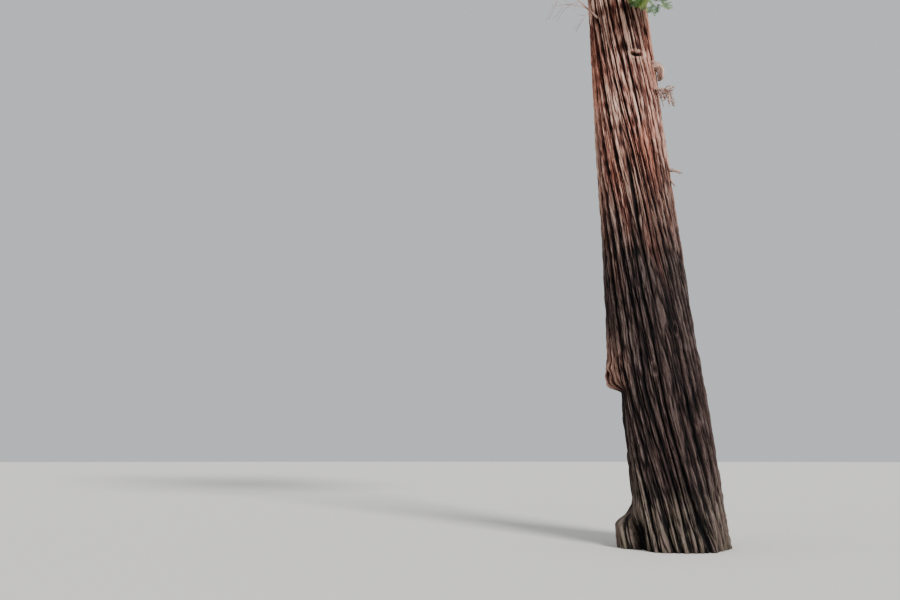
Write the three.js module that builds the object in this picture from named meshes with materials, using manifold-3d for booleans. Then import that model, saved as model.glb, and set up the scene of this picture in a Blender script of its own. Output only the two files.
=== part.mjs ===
// A coast redwood, whole from the flat cut at ground level to its leader, at two thirds of life size.
// Millimetres, +Z up. The origin is the middle of the cut foot. Looking along +Y the tree leans to the left.
import * as THREE from "three";
import Module from "manifold-3d";

const wasm = await Module();
wasm.setup();

const { clamp, degToRad, lerp, smoothstep } = THREE.MathUtils;
const UP = new THREE.Vector3(0, 0, 1);

// Whole tree
const TREE_HEIGHT = 39980;
const LEADER_FOOT = 38500; // the trunk ends here, and the leader's foliage goes on from it
const LEAN = degToRad(2.6);
const LEAN_REACH = 26000; // the lean straightens out over this height
const SWEEP = 160; // how far the trunk bows towards the back, half way up

// Trunk: a taper, a swollen butt and spreading roots
const TAPER_DIAMETER = 867;
const TAPER_POWER = 0.8;
const SWELL_DIAMETER = 545;
const SWELL_FADE = 4800;
const SWELL_FLAT = 1000; // below about this height the swelling hardly grows any more
const ROOTS = 7;
const ROOT_REACH = 34;
const ROOT_FADE = 320;
const ROOT_SHARPNESS = 1.5;
const ROOT_SWAYS = [0.5, 0.3]; // radians by which the roots stray from even spacing

// Bark: long ridges that wind round the trunk as they climb
const RIDGES = 20;
const RIDGE_DEPTH = 0.055; // of the radius, from crest to furrow
const TWIST = 8.4; // radians that the ridges would wind in the end
const TWIST_REACH = 34000;

// The burl on the left, and the hollow with a sharp lip under it
const BURL_AZIMUTH = degToRad(205);
const BURL_HALF_ANGLE = degToRad(42);
const BURL_BULGE = 60;
const BURL_TOP = 2880;
const LIP_HEIGHT = 2040;
const LIP_DEPTH = 110; // height over which the burl turns under
const HOLLOW_AZIMUTH = degToRad(183);
const HOLLOW_HALF_ANGLE = degToRad(60);
const HOLLOW_DEPTH = 200; // under the lip
const HOLLOW_GAIN = 330; // more, down at its foot
const HOLLOW_FOOT = 260;
const HOLLOW_RISE = 320; // height over which the hollow opens above the left root

// The fold between the left root and the front one
const FOLD_AZIMUTH = degToRad(232);
const FOLD_HALF_ANGLE = degToRad(17);
const FOLD_DEPTH = 110;
const FOLD_FULL = 170; // it is this deep up to here, and closes at its top
const FOLD_TOP = 520;

// Trunk mesh
const COLUMNS = 2 * RIDGES;
const RINGS = 22;
const RING_CROWDING = 2.2; // rings crowd towards the foot
const OVER_LIP = 150; // height of one more ring above the lip
const LIP_RINGS = [LIP_HEIGHT - LIP_DEPTH, LIP_HEIGHT - LIP_DEPTH / 2, LIP_HEIGHT, LIP_HEIGHT + OVER_LIP];
const HOLLOW_RINGS = [HOLLOW_FOOT, HOLLOW_FOOT + HOLLOW_RISE / 2, HOLLOW_FOOT + HOLLOW_RISE];
const LEAST_RING_GAP = 45;

// Crown: limbs leave the trunk one by one, a golden angle apart
const CROWN_FOOT = 17500;
const CROWN_REACH = 3700;
const CROWN_POWER = 0.62; // how the reach falls towards the top
const FOOT_REACH = 0.76; // the lowest limbs reach this share
const FULL_REACH_AT = 0.12; // and the reach is full at this share of the crown's height
const LEAST_REACH = 680;
const REACH_RANGE = [0.88, 1.04]; // by which chance changes it
const LIMBS = 44;
const BOUGHS = 9; // the lowest limbs show a bare bough, and the others leave the trunk in leaf
const CROWDING = 1.35; // limbs crowd towards the top
const GOLDEN_ANGLE = degToRad(137.5);
const FIRST_AZIMUTH = degToRad(250);
const AZIMUTH_STRAY = 0.15;
const LOW_RISE = 0.22; // a limb's slope where it leaves the trunk, and how far it sags on its way
const TOP_RISE = 1.05;
const RISE_STRAY = 0.08;
const LOW_SAG = 0.5;
const TOP_SAG = 0.3;
const LIMB_THICKNESS = 0.017; // its radius at the trunk, as a share of the reach
const LIMB_TO_TRUNK = 0.42; // and at most this share of the trunk's radius there
const LIMB_TIP_RADIUS = 9;
const COLLAR = 0.6; // how much thicker a limb is where it leaves the trunk
const COLLAR_SPAN = 0.1;
const BOUGH_END = 0.36; // where a bough enters its mass, as a share of the reach
const STEM_END = 0.8; // where the stem ends in its last spray
const BOUGH_MESH = [6, 3]; // sides and stretches of each kind of limb
const LONG_STEM_MESH = [3, 4];
const SHORT_STEM_MESH = [3, 3];
const LONG_STEMS_UP_TO = 0.5; // share of the crown's height

// Sprays: toothed blades, each standing for a drooping side twig in leaf
const LOW_SPRAYS = 7;
const TOP_SPRAYS = 5;
const BARE_STEM = 0.3; // the innermost spray's place on its limb
const BARE_AFTER_BOUGH = 0.06;
const TIP_SINK = 0.03; // how far inside the stem's end the last spray starts
const TIP_STEP = 0.08; // and the one before it
const SPRAY_LENGTH = 0.74; // of the reach
const LEAST_SPRAY = 600;
const INNER_SIZE = 1.1; // inner sprays are longer and the outer ones shorter by these factors
const OUTER_SIZE = 0.72;
const SIZE_RANGE = [0.9, 1.12]; // by which chance changes it
const SPRAY_WIDTH = 0.5; // of its length, each side
const SPRAY_DROOP = 0.22;
const OPEN_FAN = degToRad(76); // between the limb and the innermost spray
const CLOSED_FAN = degToRad(34); // and the outermost
const FAN_STRAY = 0.15;
const LIFTS = [-0.25, -0.8, 0.5, -0.55, 0.15]; // sine of a spray's slope, dealt out in turn
const LIFT_STRAY = 0.1;
const STEEPEST = 0.85;
const ROLL = 0.8; // radians by which a spray's blade tips to either side
const STALK = 0.16; // the bare foot of a spray, as a share of its length
const RIB_WIDTH = 0.016;
const RIB_DEPTH = 0.026;
const RIB_ROOT = 0.3; // the rib's girth where it leaves the stem, and at its tip
const RIB_TIP = 0.35;
const LOW_TEETH = 3;
const TOP_TEETH = 2;
const FINE_UP_TO = 0.2; // share of the crown's height where sprays have more teeth
const FIRST_TOOTH = 0.4; // the teeth's widths follow a half wave of sine from here
const LAST_TOOTH = 0.74; // to here
const LAST_STEP = 0.75; // the bare end past the last tooth, in steps from tooth to tooth
const TOOTH_SWEEP = 1.15; // how far forward a tooth's tip lies, in steps
const TOOTH_DROOP = 0.12;

// Space: a mass keeps to the points nearer the middle of its own limb than of any other
const CELL_MIDDLE = 0.6;
const CELL_MARGIN = 25;
const LIMB_MARGIN = 95;
const TRUNK_MARGIN = 110;
const SHRINK = 0.85; // a spray is shortened by this until it fits, this often
const SHRINK_TRIES = 7;
const JOINT_GAP = 0.3;
const TRUNK_GAP = 0.5;

// The leader: an upright stem with sprays all round it
const LEADER_DRIFT = 40;
const LEADER_SPAN = 800; // sizes its sprays

// What grows on the bare trunk: azimuths in degrees, and lengths from the bark outwards
const BARE_LIMBS = [
  {
    name: "right_stub", twigs: 0, height: 6560, azimuth: -14,
    length: 110, radius: 95, tip: 62, rise: 0.1, sag: 0,
  },
  {
    name: "dead_twigs", twigs: 4, height: 6270, azimuth: -24,
    length: 250, radius: 15, tip: 6, rise: 0.1, sag: 0.35,
  },
  {
    name: "dead_snag", twigs: 2, height: 5040, azimuth: -12,
    length: 190, radius: 15, tip: 6, rise: 0.4, sag: 0.6,
  },
  {
    name: "dead_branch", twigs: 3, height: 7270, azimuth: 225,
    length: 900, radius: 20, tip: 6, rise: 0.3, sag: -0.25,
  },
];
const SPRIG = {
  height: 7800, azimuth: -62, length: 600, radius: 16, tip: LIMB_TIP_RADIUS, rise: 0.35, sag: 0.75,
};
const BRANCH_MESH = [5, 4];
const TWIG_MESH = [3, 2];
const LAST_TWIG = 0.95; // the twigs leave their branch between the bark and this share of the reach
const TWIG_PLACE = 0.6; // where in its own stretch each leaves it
const TWIG_LENGTHS = [0.33, 0.605]; // as shares of the branch's length
const TWIG_GIRTH = 0.5;
const TWIG_FANS = [0.5, 1.2];
const TWIG_RISES = [-0.5, 0.9];
const TWIG_SAG = 0.4;

// A number from 0 to 1 that depends only on its three seeds.
function chance(a, b, c) {
  const s = Math.sin(a * 12.9898 + b * 78.233 + c * 37.719) * 43758.5453;
  return s - Math.floor(s);
}

// A number between minus and plus a range.
const stray = (range, a, b, c) => range * (2 * chance(a, b, c) - 1);

// A smooth hill: 1 in the middle, 0 at a half width and beyond.
function hill(offset, halfWidth) {
  const share = Math.min(1, Math.abs(offset) / halfWidth);
  return 0.5 + 0.5 * Math.cos(Math.PI * share);
}

// The angle from one azimuth to another, between minus and plus a half turn.
function turn(azimuth, middle) {
  const offset = azimuth - middle;
  return Math.atan2(Math.sin(offset), Math.cos(offset));
}

// The level direction at an azimuth.
const level = (azimuth) => new THREE.Vector3(Math.cos(azimuth), Math.sin(azimuth), 0);

// The middle of the trunk at a height.
function trunkAxis(z) {
  const across = -Math.tan(LEAN) * LEAN_REACH * (1 - Math.exp(-z / LEAN_REACH));
  return new THREE.Vector3(across, SWEEP * Math.sin((Math.PI * z) / TREE_HEIGHT) ** 2, z);
}

// The mean radius at a height: the taper to the tip plus the butt's swelling.
function trunkRadius(z) {
  const taper = TAPER_DIAMETER * (1 - z / TREE_HEIGHT) ** TAPER_POWER;
  const swell = SWELL_DIAMETER * Math.exp(-Math.hypot(z, SWELL_FLAT) / SWELL_FADE);
  return (taper + swell) / 2;
}

// What the roots, the burl, the hollow and the fold add to the radius, at an azimuth and a height.
function trunkForms(azimuth, z) {
  const sway = ROOT_SWAYS[0] * Math.sin(2 * azimuth + 1) + ROOT_SWAYS[1] * Math.sin(3 * azimuth);
  const root = (0.5 + 0.5 * Math.cos(ROOTS * azimuth + sway)) ** ROOT_SHARPNESS;
  const roots = ROOT_REACH * root * Math.exp(-z / ROOT_FADE);
  const overLip = smoothstep(z, LIP_HEIGHT - LIP_DEPTH, LIP_HEIGHT);
  const burl = BURL_BULGE * hill(turn(azimuth, BURL_AZIMUTH), BURL_HALF_ANGLE)
    * overLip * (1 - smoothstep(z, LIP_HEIGHT, BURL_TOP));
  const depth = HOLLOW_DEPTH + HOLLOW_GAIN * (1 - z / LIP_HEIGHT) ** 2;
  const hollow = depth * hill(turn(azimuth, HOLLOW_AZIMUTH), HOLLOW_HALF_ANGLE)
    * smoothstep(z, HOLLOW_FOOT, HOLLOW_FOOT + HOLLOW_RISE) * (1 - overLip);
  const fold = FOLD_DEPTH * hill(turn(azimuth, FOLD_AZIMUTH), FOLD_HALF_ANGLE)
    * (1 - smoothstep(z, FOLD_FULL, FOLD_TOP));
  return roots + burl - hollow - fold;
}

// How far the ridges have wound round the trunk at a height. They climb clockwise, seen from above.
const ridgeTwist = (z) => -TWIST * (1 - Math.exp(-z / TWIST_REACH));

function ringHeights() {
  const heights = [...LIP_RINGS, ...HOLLOW_RINGS];
  for (let i = 0; i <= RINGS; i++) heights.push(LEADER_FOOT * (i / RINGS) ** RING_CROWDING);
  heights.sort((a, b) => a - b);
  return heights.filter((z, i) => i === 0 || z === LEADER_FOOT || z - heights[i - 1] > LEAST_RING_GAP);
}

// A closed mesh from points and triangles, as a solid.
function solidOf(points, triangles) {
  const vertProperties = new Float32Array(points.flatMap((p) => [p.x, p.y, p.z]));
  const triVerts = new Uint32Array(triangles.flat());
  return new wasm.Manifold(new wasm.Mesh({ numProp: 3, vertProperties, triVerts }));
}

// Rings of points, each with as many, closed at both ends with a fan. Seen from the far end, the points of a
// ring run anticlockwise.
function loft(rings, firstMiddle, lastMiddle) {
  const n = rings[0].length;
  const points = [...rings.flat(), firstMiddle, lastMiddle];
  const first = points.length - 2;
  const last = points.length - 1;
  const lastRing = (rings.length - 1) * n;
  const triangles = [];
  for (let j = 0; j < n; j++) {
    const next = (j + 1) % n;
    triangles.push([first, next, j], [last, lastRing + j, lastRing + next]);
    for (let i = 0; i + 1 < rings.length; i++) {
      const [a, b, c, d] = [i * n + j, i * n + next, (i + 1) * n + next, (i + 1) * n + j];
      triangles.push([a, b, c], [a, c, d]);
    }
  }
  return solidOf(points, triangles);
}

// The trunk, or the trunk grown by a margin for cutting what meets it.
function trunkSolid(margin) {
  const lift = (z) => trunkAxis(z).addScaledVector(UP, z === LEADER_FOOT ? margin : 0);
  const rings = ringHeights().map((z) => {
    const radius = trunkRadius(z);
    return Array.from({ length: COLUMNS }, (_, j) => {
      const azimuth = (2 * Math.PI * j) / COLUMNS + ridgeTwist(z);
      const ridge = (j % 2 ? -0.5 : 0.5) * RIDGE_DEPTH * radius;
      return lift(z).addScaledVector(level(azimuth), radius + trunkForms(azimuth, z) + ridge + margin);
    });
  });
  return loft(rings, lift(0), lift(LEADER_FOOT));
}

// A limb from its sizes. Its reach is level, and starts at the trunk's axis; its span sizes what grows on it.
function makeLimb({ azimuth, ...sizes }) {
  return { span: sizes.reach, tip: LIMB_TIP_RADIUS, start: 0, whorl: 0, away: level(azimuth), ...sizes };
}

// One limb of the crown.
function crownLimb(k) {
  const up = 1 - (1 - k / LIMBS) ** CROWDING;
  const height = lerp(CROWN_FOOT, LEADER_FOOT, up);
  const envelope = (1 - up) ** CROWN_POWER * lerp(FOOT_REACH, 1, Math.min(1, up / FULL_REACH_AT));
  const reach = Math.max(LEAST_REACH, CROWN_REACH * envelope * lerp(...REACH_RANGE, chance(k, 2, 0)));
  return makeLimb({
    seed: k, up, reach, foot: trunkAxis(height),
    azimuth: FIRST_AZIMUTH + k * GOLDEN_ANGLE + stray(AZIMUTH_STRAY, k, 1, 0),
    radius: Math.min(LIMB_THICKNESS * reach, LIMB_TO_TRUNK * trunkRadius(height)),
    rise: lerp(LOW_RISE, TOP_RISE, up) + stray(RISE_STRAY, k, 3, 0),
    sag: lerp(LOW_SAG, TOP_SAG, up), start: k < BOUGHS ? BOUGH_END : 0,
  });
}

// The leader: a limb that goes straight up from the trunk's tip, and is as thick there.
function leaderLimb() {
  return makeLimb({
    seed: LIMBS, up: 1, reach: LEADER_DRIFT, span: LEADER_SPAN, azimuth: 0, foot: trunkAxis(LEADER_FOOT),
    radius: trunkRadius(LEADER_FOOT) / (1 + COLLAR), whorl: GOLDEN_ANGLE,
    rise: (TREE_HEIGHT - LEADER_FOOT) / (STEM_END * LEADER_DRIFT), sag: 0,
  });
}

// A limb on the bare trunk.
function bareLimb({ height, azimuth, length, radius, tip, rise, sag }, seed) {
  return makeLimb({
    seed, up: 1, reach: trunkRadius(height) + length, span: length, foot: trunkAxis(height),
    azimuth: degToRad(azimuth), radius, tip, rise, sag,
  });
}

// A point on a limb: it rises from the trunk and sags with the square of the way out.
function limbPoint(limb, t) {
  return limb.foot.clone()
    .addScaledVector(limb.away, limb.reach * t)
    .addScaledVector(UP, limb.reach * (limb.rise * t - limb.sag * t * t));
}

// The way that a limb runs at a point.
function limbWay(limb, t) {
  return limb.away.clone().addScaledVector(UP, limb.rise - 2 * limb.sag * t).normalize();
}

// The radius of a limb: a straight taper, with a collar where it leaves the trunk.
function limbRadius(limb, t) {
  const collar = 1 + COLLAR * Math.max(0, 1 - t / COLLAR_SPAN);
  return lerp(limb.radius, limb.tip, Math.min(1, t / STEM_END)) * collar;
}

// A limb's solid between two places on it, with a number of sides and stretches.
function limbSolid(limb, from, to, [sides, stretches]) {
  const side = new THREE.Vector3().crossVectors(limb.away, UP);
  const rings = Array.from({ length: stretches + 1 }, (_, i) => {
    const t = lerp(from, to, i / stretches);
    const over = new THREE.Vector3().crossVectors(side, limbWay(limb, t));
    return Array.from({ length: sides }, (_, j) => {
      const angle = (2 * Math.PI * (j + 0.5)) / sides;
      return limbPoint(limb, t)
        .addScaledVector(side, -limbRadius(limb, t) * Math.cos(angle))
        .addScaledVector(over, limbRadius(limb, t) * Math.sin(angle));
    });
  });
  return loft(rings, limbPoint(limb, from), limbPoint(limb, to));
}

// One spray on a limb: its place, heading, tilt and size. Outward is 0 innermost and 1 at the stem's end.
function makeSpray(limb, i, along, outward) {
  const hand = i === 0 ? 0 : i % 2 ? 1 : -1;
  const fan = hand * (lerp(OPEN_FAN, CLOSED_FAN, outward) + stray(FAN_STRAY, limb.seed, i, 4));
  const lift = LIFTS[i % LIFTS.length] + stray(LIFT_STRAY, limb.seed, i, 5);
  const slope = clamp(lift + limbWay(limb, along).z * Math.cos(fan), -STEEPEST, STEEPEST);
  const way = limb.away.clone().applyAxisAngle(UP, fan + limb.whorl * i)
    .multiplyScalar(Math.sqrt(1 - slope * slope)).addScaledVector(UP, slope);
  const across = new THREE.Vector3().crossVectors(way, UP).normalize();
  const roll = stray(ROLL, limb.seed, i, 6);
  const over = new THREE.Vector3().crossVectors(across, way).applyAxisAngle(way, roll);
  const size = lerp(INNER_SIZE, OUTER_SIZE, outward) * lerp(...SIZE_RANGE, chance(limb.seed, i, 7));
  const length = Math.max(LEAST_SPRAY, SPRAY_LENGTH * limb.span) * size;
  const teeth = limb.up < FINE_UP_TO ? LOW_TEETH : TOP_TEETH;
  return { base: limbPoint(limb, along), way, over, teeth, length };
}

// The sprays along a limb: one ends the stem, and the rest leave it left and right by turns, going inwards.
function limbSprays(limb) {
  const count = Math.round(lerp(LOW_SPRAYS, TOP_SPRAYS, limb.up));
  const innermost = Math.max(limb.start + BARE_AFTER_BOUGH, BARE_STEM);
  return Array.from({ length: count }, (_, i) => {
    const side = lerp(STEM_END - TIP_STEP, innermost, (i - 1) / (count - 2));
    const along = i === 0 ? STEM_END - TIP_SINK : side;
    return makeSpray(limb, i, along, (along - innermost) / (STEM_END - innermost));
  });
}

// The points of a toothed blade: stations of a three-sided rib, the teeth between them, and the tip.
function bladePoints({ base, way, over, teeth }, length) {
  const left = new THREE.Vector3().crossVectors(over, way);
  const at = (share, across, depth) => base.clone()
    .addScaledVector(way, length * share)
    .addScaledVector(left, across)
    .addScaledVector(over, -depth)
    .addScaledVector(UP, -SPRAY_DROOP * length * share * share);
  const station = (share) => {
    const rib = length * (share === 0 ? RIB_ROOT : lerp(1, RIB_TIP, share));
    return [at(share, rib * RIB_WIDTH, 0), at(share, -rib * RIB_WIDTH, 0), at(share, 0, rib * RIB_DEPTH)];
  };
  const step = (1 - STALK) / (teeth + LAST_STEP);
  const stations = [station(0), station(STALK)];
  const tips = [];
  for (let i = 0; i < teeth; i++) {
    const width = SPRAY_WIDTH * length * Math.sin(Math.PI * lerp(FIRST_TOOTH, LAST_TOOTH, i / (teeth - 1)));
    const ahead = STALK + (i + TOOTH_SWEEP) * step;
    tips.push([at(ahead, width, TOOTH_DROOP * width), at(ahead, -width, TOOTH_DROOP * width)]);
    stations.push(station(STALK + (i + 1) * step));
  }
  return { stations, tips, end: at(1, 0, 0) };
}

// A toothed blade as a solid: a bare stalk, then wedges for teeth, thick at the rib and sharp at their tips.
function bladeSolid({ stations, tips, end }) {
  const points = [...stations.flat(), ...tips.flat(), end];
  const n = stations.length;
  const [left, right, keel] = [(i) => 3 * i, (i) => 3 * i + 1, (i) => 3 * i + 2];
  const last = points.length - 1;
  const [endLeft, endRight, endKeel] = [left(n - 1), right(n - 1), keel(n - 1)];
  const triangles = [
    [left(0), keel(0), right(0)],
    [endRight, last, endLeft], [endLeft, last, endKeel], [endRight, endKeel, last],
    [left(0), left(1), keel(1)], [left(0), keel(1), keel(0)],
    [right(1), right(0), keel(0)], [right(1), keel(0), keel(1)],
  ];
  for (let i = 0; i + 1 < n; i++) {
    triangles.push([right(i), right(i + 1), left(i + 1)], [right(i), left(i + 1), left(i)]);
    if (i === 0) continue;
    const [leftTip, rightTip] = [3 * n + 2 * (i - 1), 3 * n + 2 * (i - 1) + 1];
    triangles.push([left(i), left(i + 1), leftTip], [keel(i), leftTip, keel(i + 1)]);
    triangles.push([left(i), leftTip, keel(i)], [left(i + 1), keel(i + 1), leftTip]);
    triangles.push([right(i), rightTip, right(i + 1)], [keel(i), keel(i + 1), rightTip]);
    triangles.push([right(i), keel(i), rightTip], [right(i + 1), rightTip, keel(i + 1)]);
  }
  return solidOf(points, triangles);
}

// The points that stand for a blade in the tests of its space: its corners and the middles of its edges.
function testPoints(blade) {
  const middle = (a, b) => a.clone().lerp(b, 0.5);
  const found = [...blade.tips.flat(), blade.end, middle(blade.stations.at(-1)[2], blade.end)];
  blade.tips.forEach((pair, i) => {
    const [left, right, keel] = blade.stations[i + 2];
    found.push(left, right, keel, middle(keel, blade.stations[i + 1][2]));
    found.push(middle(left, pair[0]), middle(right, pair[1]));
  });
  return found;
}

// Whether a point is clear of a limb, which is taken as a row of short straight stretches.
function clearOf(p, limb) {
  const stretches = 6;
  for (let i = 0; i < stretches; i++) {
    const from = limbPoint(limb, (STEM_END * i) / stretches);
    const to = limbPoint(limb, (STEM_END * (i + 1)) / stretches);
    const nearest = new THREE.Line3(from, to).closestPointToPoint(p, true, new THREE.Vector3());
    if (nearest.distanceTo(p) < limb.radius / 2 + LIMB_MARGIN) return false;
  }
  return true;
}

// Whether a point is below the tree's top and outside the trunk with its margin.
function clearOfTrunk(p) {
  if (p.z > TREE_HEIGHT - CELL_MARGIN) return false;
  const middle = trunkAxis(p.z);
  const fromAxis = Math.hypot(p.x - middle.x, p.y - middle.y);
  return p.z > LEADER_FOOT || fromAxis > trunkRadius(p.z) + TRUNK_MARGIN;
}

// Whether a blade keeps to its limb's cell, and clear of the trunk and every other limb.
function fits(blade, limb, limbs) {
  const own = limbPoint(limb, CELL_MIDDLE);
  return testPoints(blade).every((p) => clearOfTrunk(p) && limbs.every((other) => {
    if (other === limb) return true;
    const gap = limbPoint(other, CELL_MIDDLE).sub(own);
    const past = p.clone().sub(own).dot(gap) / gap.length() - gap.length() / 2;
    return past < -CELL_MARGIN && clearOf(p, other);
  }));
}

// A spray's blade, shortened until it keeps to its space and clear of its neighbours, or nothing.
function fittedBlade(spray, neighbours, limb, limbs) {
  let length = spray.length;
  for (let i = 0; i < SHRINK_TRIES; i++) {
    const blade = bladePoints(spray, length);
    if (fits(blade, limb, limbs)) {
      const solid = bladeSolid(blade);
      if (neighbours.every((other) => solid.intersect(other).isEmpty())) return solid;
    }
    length *= SHRINK;
  }
  return null;
}

// A mass of foliage: the limb's stem, past its bough if it has one, with its sprays fused on.
function massSolid(limb, limbs) {
  const gap = limb.start ? JOINT_GAP / limb.reach : 0;
  const mesh = limb.up < LONG_STEMS_UP_TO ? LONG_STEM_MESH : SHORT_STEM_MESH;
  const stem = limbSolid(limb, limb.start + gap, STEM_END, mesh);
  const blades = [];
  for (const spray of limbSprays(limb)) {
    const blade = fittedBlade(spray, blades, limb, limbs);
    if (blade) blades.push(blade);
  }
  return wasm.Manifold.union([stem, ...blades]);
}

// A dead twig on a bare limb, left and right by turns along the stretch outside the bark.
function deadTwig(limb, i, count) {
  const t = lerp(1 - limb.span / limb.reach, LAST_TWIG, (i + TWIG_PLACE) / count);
  const length = limb.span * lerp(...TWIG_LENGTHS, chance(limb.seed, i, 9));
  const fan = (i % 2 ? 1 : -1) * lerp(...TWIG_FANS, chance(limb.seed, i, 8));
  return {
    ...limb, foot: limbPoint(limb, t), reach: length, away: limb.away.clone().applyAxisAngle(UP, fan),
    radius: limbRadius(limb, t) * TWIG_GIRTH, tip: limb.tip * TWIG_GIRTH,
    rise: lerp(...TWIG_RISES, chance(limb.seed, i, 10)), sag: TWIG_SAG,
  };
}

// A dead branch or stub: bare wood with its twigs fused on.
function bareSolid(limb, twigs) {
  const wood = [limbSolid(limb, 0, 1, BRANCH_MESH)];
  for (let i = 0; i < twigs; i++) wood.push(limbSolid(deadTwig(limb, i, twigs), 0, 1, TWIG_MESH));
  return wasm.Manifold.union(wood);
}

// A finished solid as a named mesh.
function piece(name, solid, material) {
  const { vertProperties, triVerts } = solid.getMesh();
  const geometry = new THREE.BufferGeometry();
  geometry.setAttribute("position", new THREE.BufferAttribute(new Float32Array(vertProperties), 3));
  geometry.setIndex(new THREE.BufferAttribute(new Uint32Array(triVerts), 1));
  const mesh = new THREE.Mesh(geometry, material);
  mesh.name = name;
  return mesh;
}

const numbered = (name, k) => `${name}_${String(k + 1).padStart(2, "0")}`;

function buildTree() {
  const bark = new THREE.MeshStandardMaterial({ color: 0x7a4a3c, roughness: 0.95, metalness: 0 });
  const limbBark = new THREE.MeshStandardMaterial({ color: 0x6b4a3f, roughness: 0.95, metalness: 0 });
  const deadWood = new THREE.MeshStandardMaterial({ color: 0xa79a8e, roughness: 0.9, metalness: 0 });
  const needles = new THREE.MeshStandardMaterial({ color: 0x4d6b45, roughness: 0.7, metalness: 0 });

  const crown = Array.from({ length: LIMBS }, (_, k) => crownLimb(k));
  const leader = leaderLimb();
  const sprig = bareLimb(SPRIG, LIMBS + 1);
  const leafy = [...crown, leader, sprig];
  const clearance = trunkSolid(TRUNK_GAP);

  const tree = new THREE.Group();
  tree.add(piece("trunk", trunkSolid(0), bark));
  crown.slice(0, BOUGHS).forEach((limb, k) => {
    const bough = limbSolid(limb, 0, BOUGH_END, BOUGH_MESH).subtract(clearance);
    tree.add(piece(numbered("bough", k), bough, limbBark));
  });
  crown.forEach((limb, k) => {
    tree.add(piece(numbered("foliage", k), massSolid(limb, leafy).subtract(clearance), needles));
  });
  tree.add(piece("leader", massSolid(leader, leafy).subtract(clearance), needles));
  tree.add(piece("right_sprig", massSolid(sprig, leafy).subtract(clearance), needles));
  BARE_LIMBS.forEach((item, i) => {
    const limb = bareLimb(item, LIMBS + 2 + i);
    tree.add(piece(item.name, bareSolid(limb, item.twigs).subtract(clearance), deadWood));
  });
  return tree;
}

export default buildTree();
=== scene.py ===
"""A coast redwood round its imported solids, in metres, +Z up, at two thirds of life size.

A furrowed bark mesh stands for the trunk, barked boughs and limbs for the boughs, and twigs with flat
sprays of needles for the masses of foliage. All of them grow by the same rules and sizes as the solids.
"""
import math
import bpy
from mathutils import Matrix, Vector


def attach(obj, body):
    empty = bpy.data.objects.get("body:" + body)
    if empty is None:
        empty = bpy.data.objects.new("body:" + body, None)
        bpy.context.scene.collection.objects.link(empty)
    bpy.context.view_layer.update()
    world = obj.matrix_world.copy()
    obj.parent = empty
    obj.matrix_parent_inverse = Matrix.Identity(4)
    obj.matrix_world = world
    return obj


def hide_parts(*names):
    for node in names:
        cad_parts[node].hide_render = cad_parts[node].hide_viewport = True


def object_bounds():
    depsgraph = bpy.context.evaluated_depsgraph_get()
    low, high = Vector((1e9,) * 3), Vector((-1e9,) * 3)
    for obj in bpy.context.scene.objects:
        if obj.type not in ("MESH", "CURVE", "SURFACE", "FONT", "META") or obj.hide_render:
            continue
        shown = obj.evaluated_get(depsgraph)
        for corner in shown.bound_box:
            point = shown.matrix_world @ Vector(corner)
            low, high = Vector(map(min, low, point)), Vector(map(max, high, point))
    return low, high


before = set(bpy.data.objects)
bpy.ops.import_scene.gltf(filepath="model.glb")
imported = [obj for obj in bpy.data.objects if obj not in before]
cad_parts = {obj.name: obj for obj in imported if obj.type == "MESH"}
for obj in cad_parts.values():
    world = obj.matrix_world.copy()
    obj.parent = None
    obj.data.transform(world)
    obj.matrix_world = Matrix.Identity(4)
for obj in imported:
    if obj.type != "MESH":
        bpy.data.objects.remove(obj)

from types import SimpleNamespace

import bpy
import numpy as np

CAD_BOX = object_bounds()
UP = np.array([0.0, 0.0, 1.0])
GOLDEN_ANGLE = math.radians(137.5)

# Whole tree
TREE_HEIGHT = 39.98
LEADER_FOOT = 38.5
LEAN = math.radians(2.6)
LEAN_REACH = 26.0
SWEEP = 0.16

# Trunk
TAPER_DIAMETER = 0.867
TAPER_POWER = 0.8
SWELL_DIAMETER = 0.545
SWELL_FADE = 4.8
SWELL_FLAT = 1.0
ROOTS = 7
ROOT_REACH = 0.034
ROOT_FADE = 0.32
ROOT_SHARPNESS = 1.5
ROOT_SWAYS = (0.5, 0.3)
TWIST = 8.4
TWIST_REACH = 34.0

# Burl and hollow
BURL_AZIMUTH = math.radians(205)
BURL_HALF_ANGLE = math.radians(42)
BURL_BULGE = 0.06
BURL_TOP = 2.88
LIP_HEIGHT = 2.04
LIP_DEPTH = 0.11
HOLLOW_AZIMUTH = math.radians(183)
HOLLOW_HALF_ANGLE = math.radians(60)
HOLLOW_DEPTH = 0.2
HOLLOW_GAIN = 0.33
HOLLOW_FOOT = 0.26
HOLLOW_RISE = 0.32
FOLD_AZIMUTH = math.radians(232)
FOLD_HALF_ANGLE = math.radians(17)
FOLD_DEPTH = 0.11
FOLD_FULL = 0.17
FOLD_TOP = 0.52

# Crown
CROWN_FOOT = 17.5
CROWN_REACH = 3.7
CROWN_POWER = 0.62
FOOT_REACH = 0.76
FULL_REACH_AT = 0.12
LEAST_REACH = 0.68
REACH_RANGE = (0.88, 1.04)
LIMBS = 44
BOUGHS = 9
CROWDING = 1.35
FIRST_AZIMUTH = math.radians(250)
AZIMUTH_STRAY = 0.15
LOW_RISE, TOP_RISE = 0.22, 1.05
RISE_STRAY = 0.08
LOW_SAG, TOP_SAG = 0.5, 0.3
LIMB_THICKNESS = 0.017
LIMB_TO_TRUNK = 0.42
LIMB_TIP_RADIUS = 0.009
COLLAR = 0.6
COLLAR_SPAN = 0.1
BOUGH_END = 0.36
STEM_END = 0.8

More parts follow.
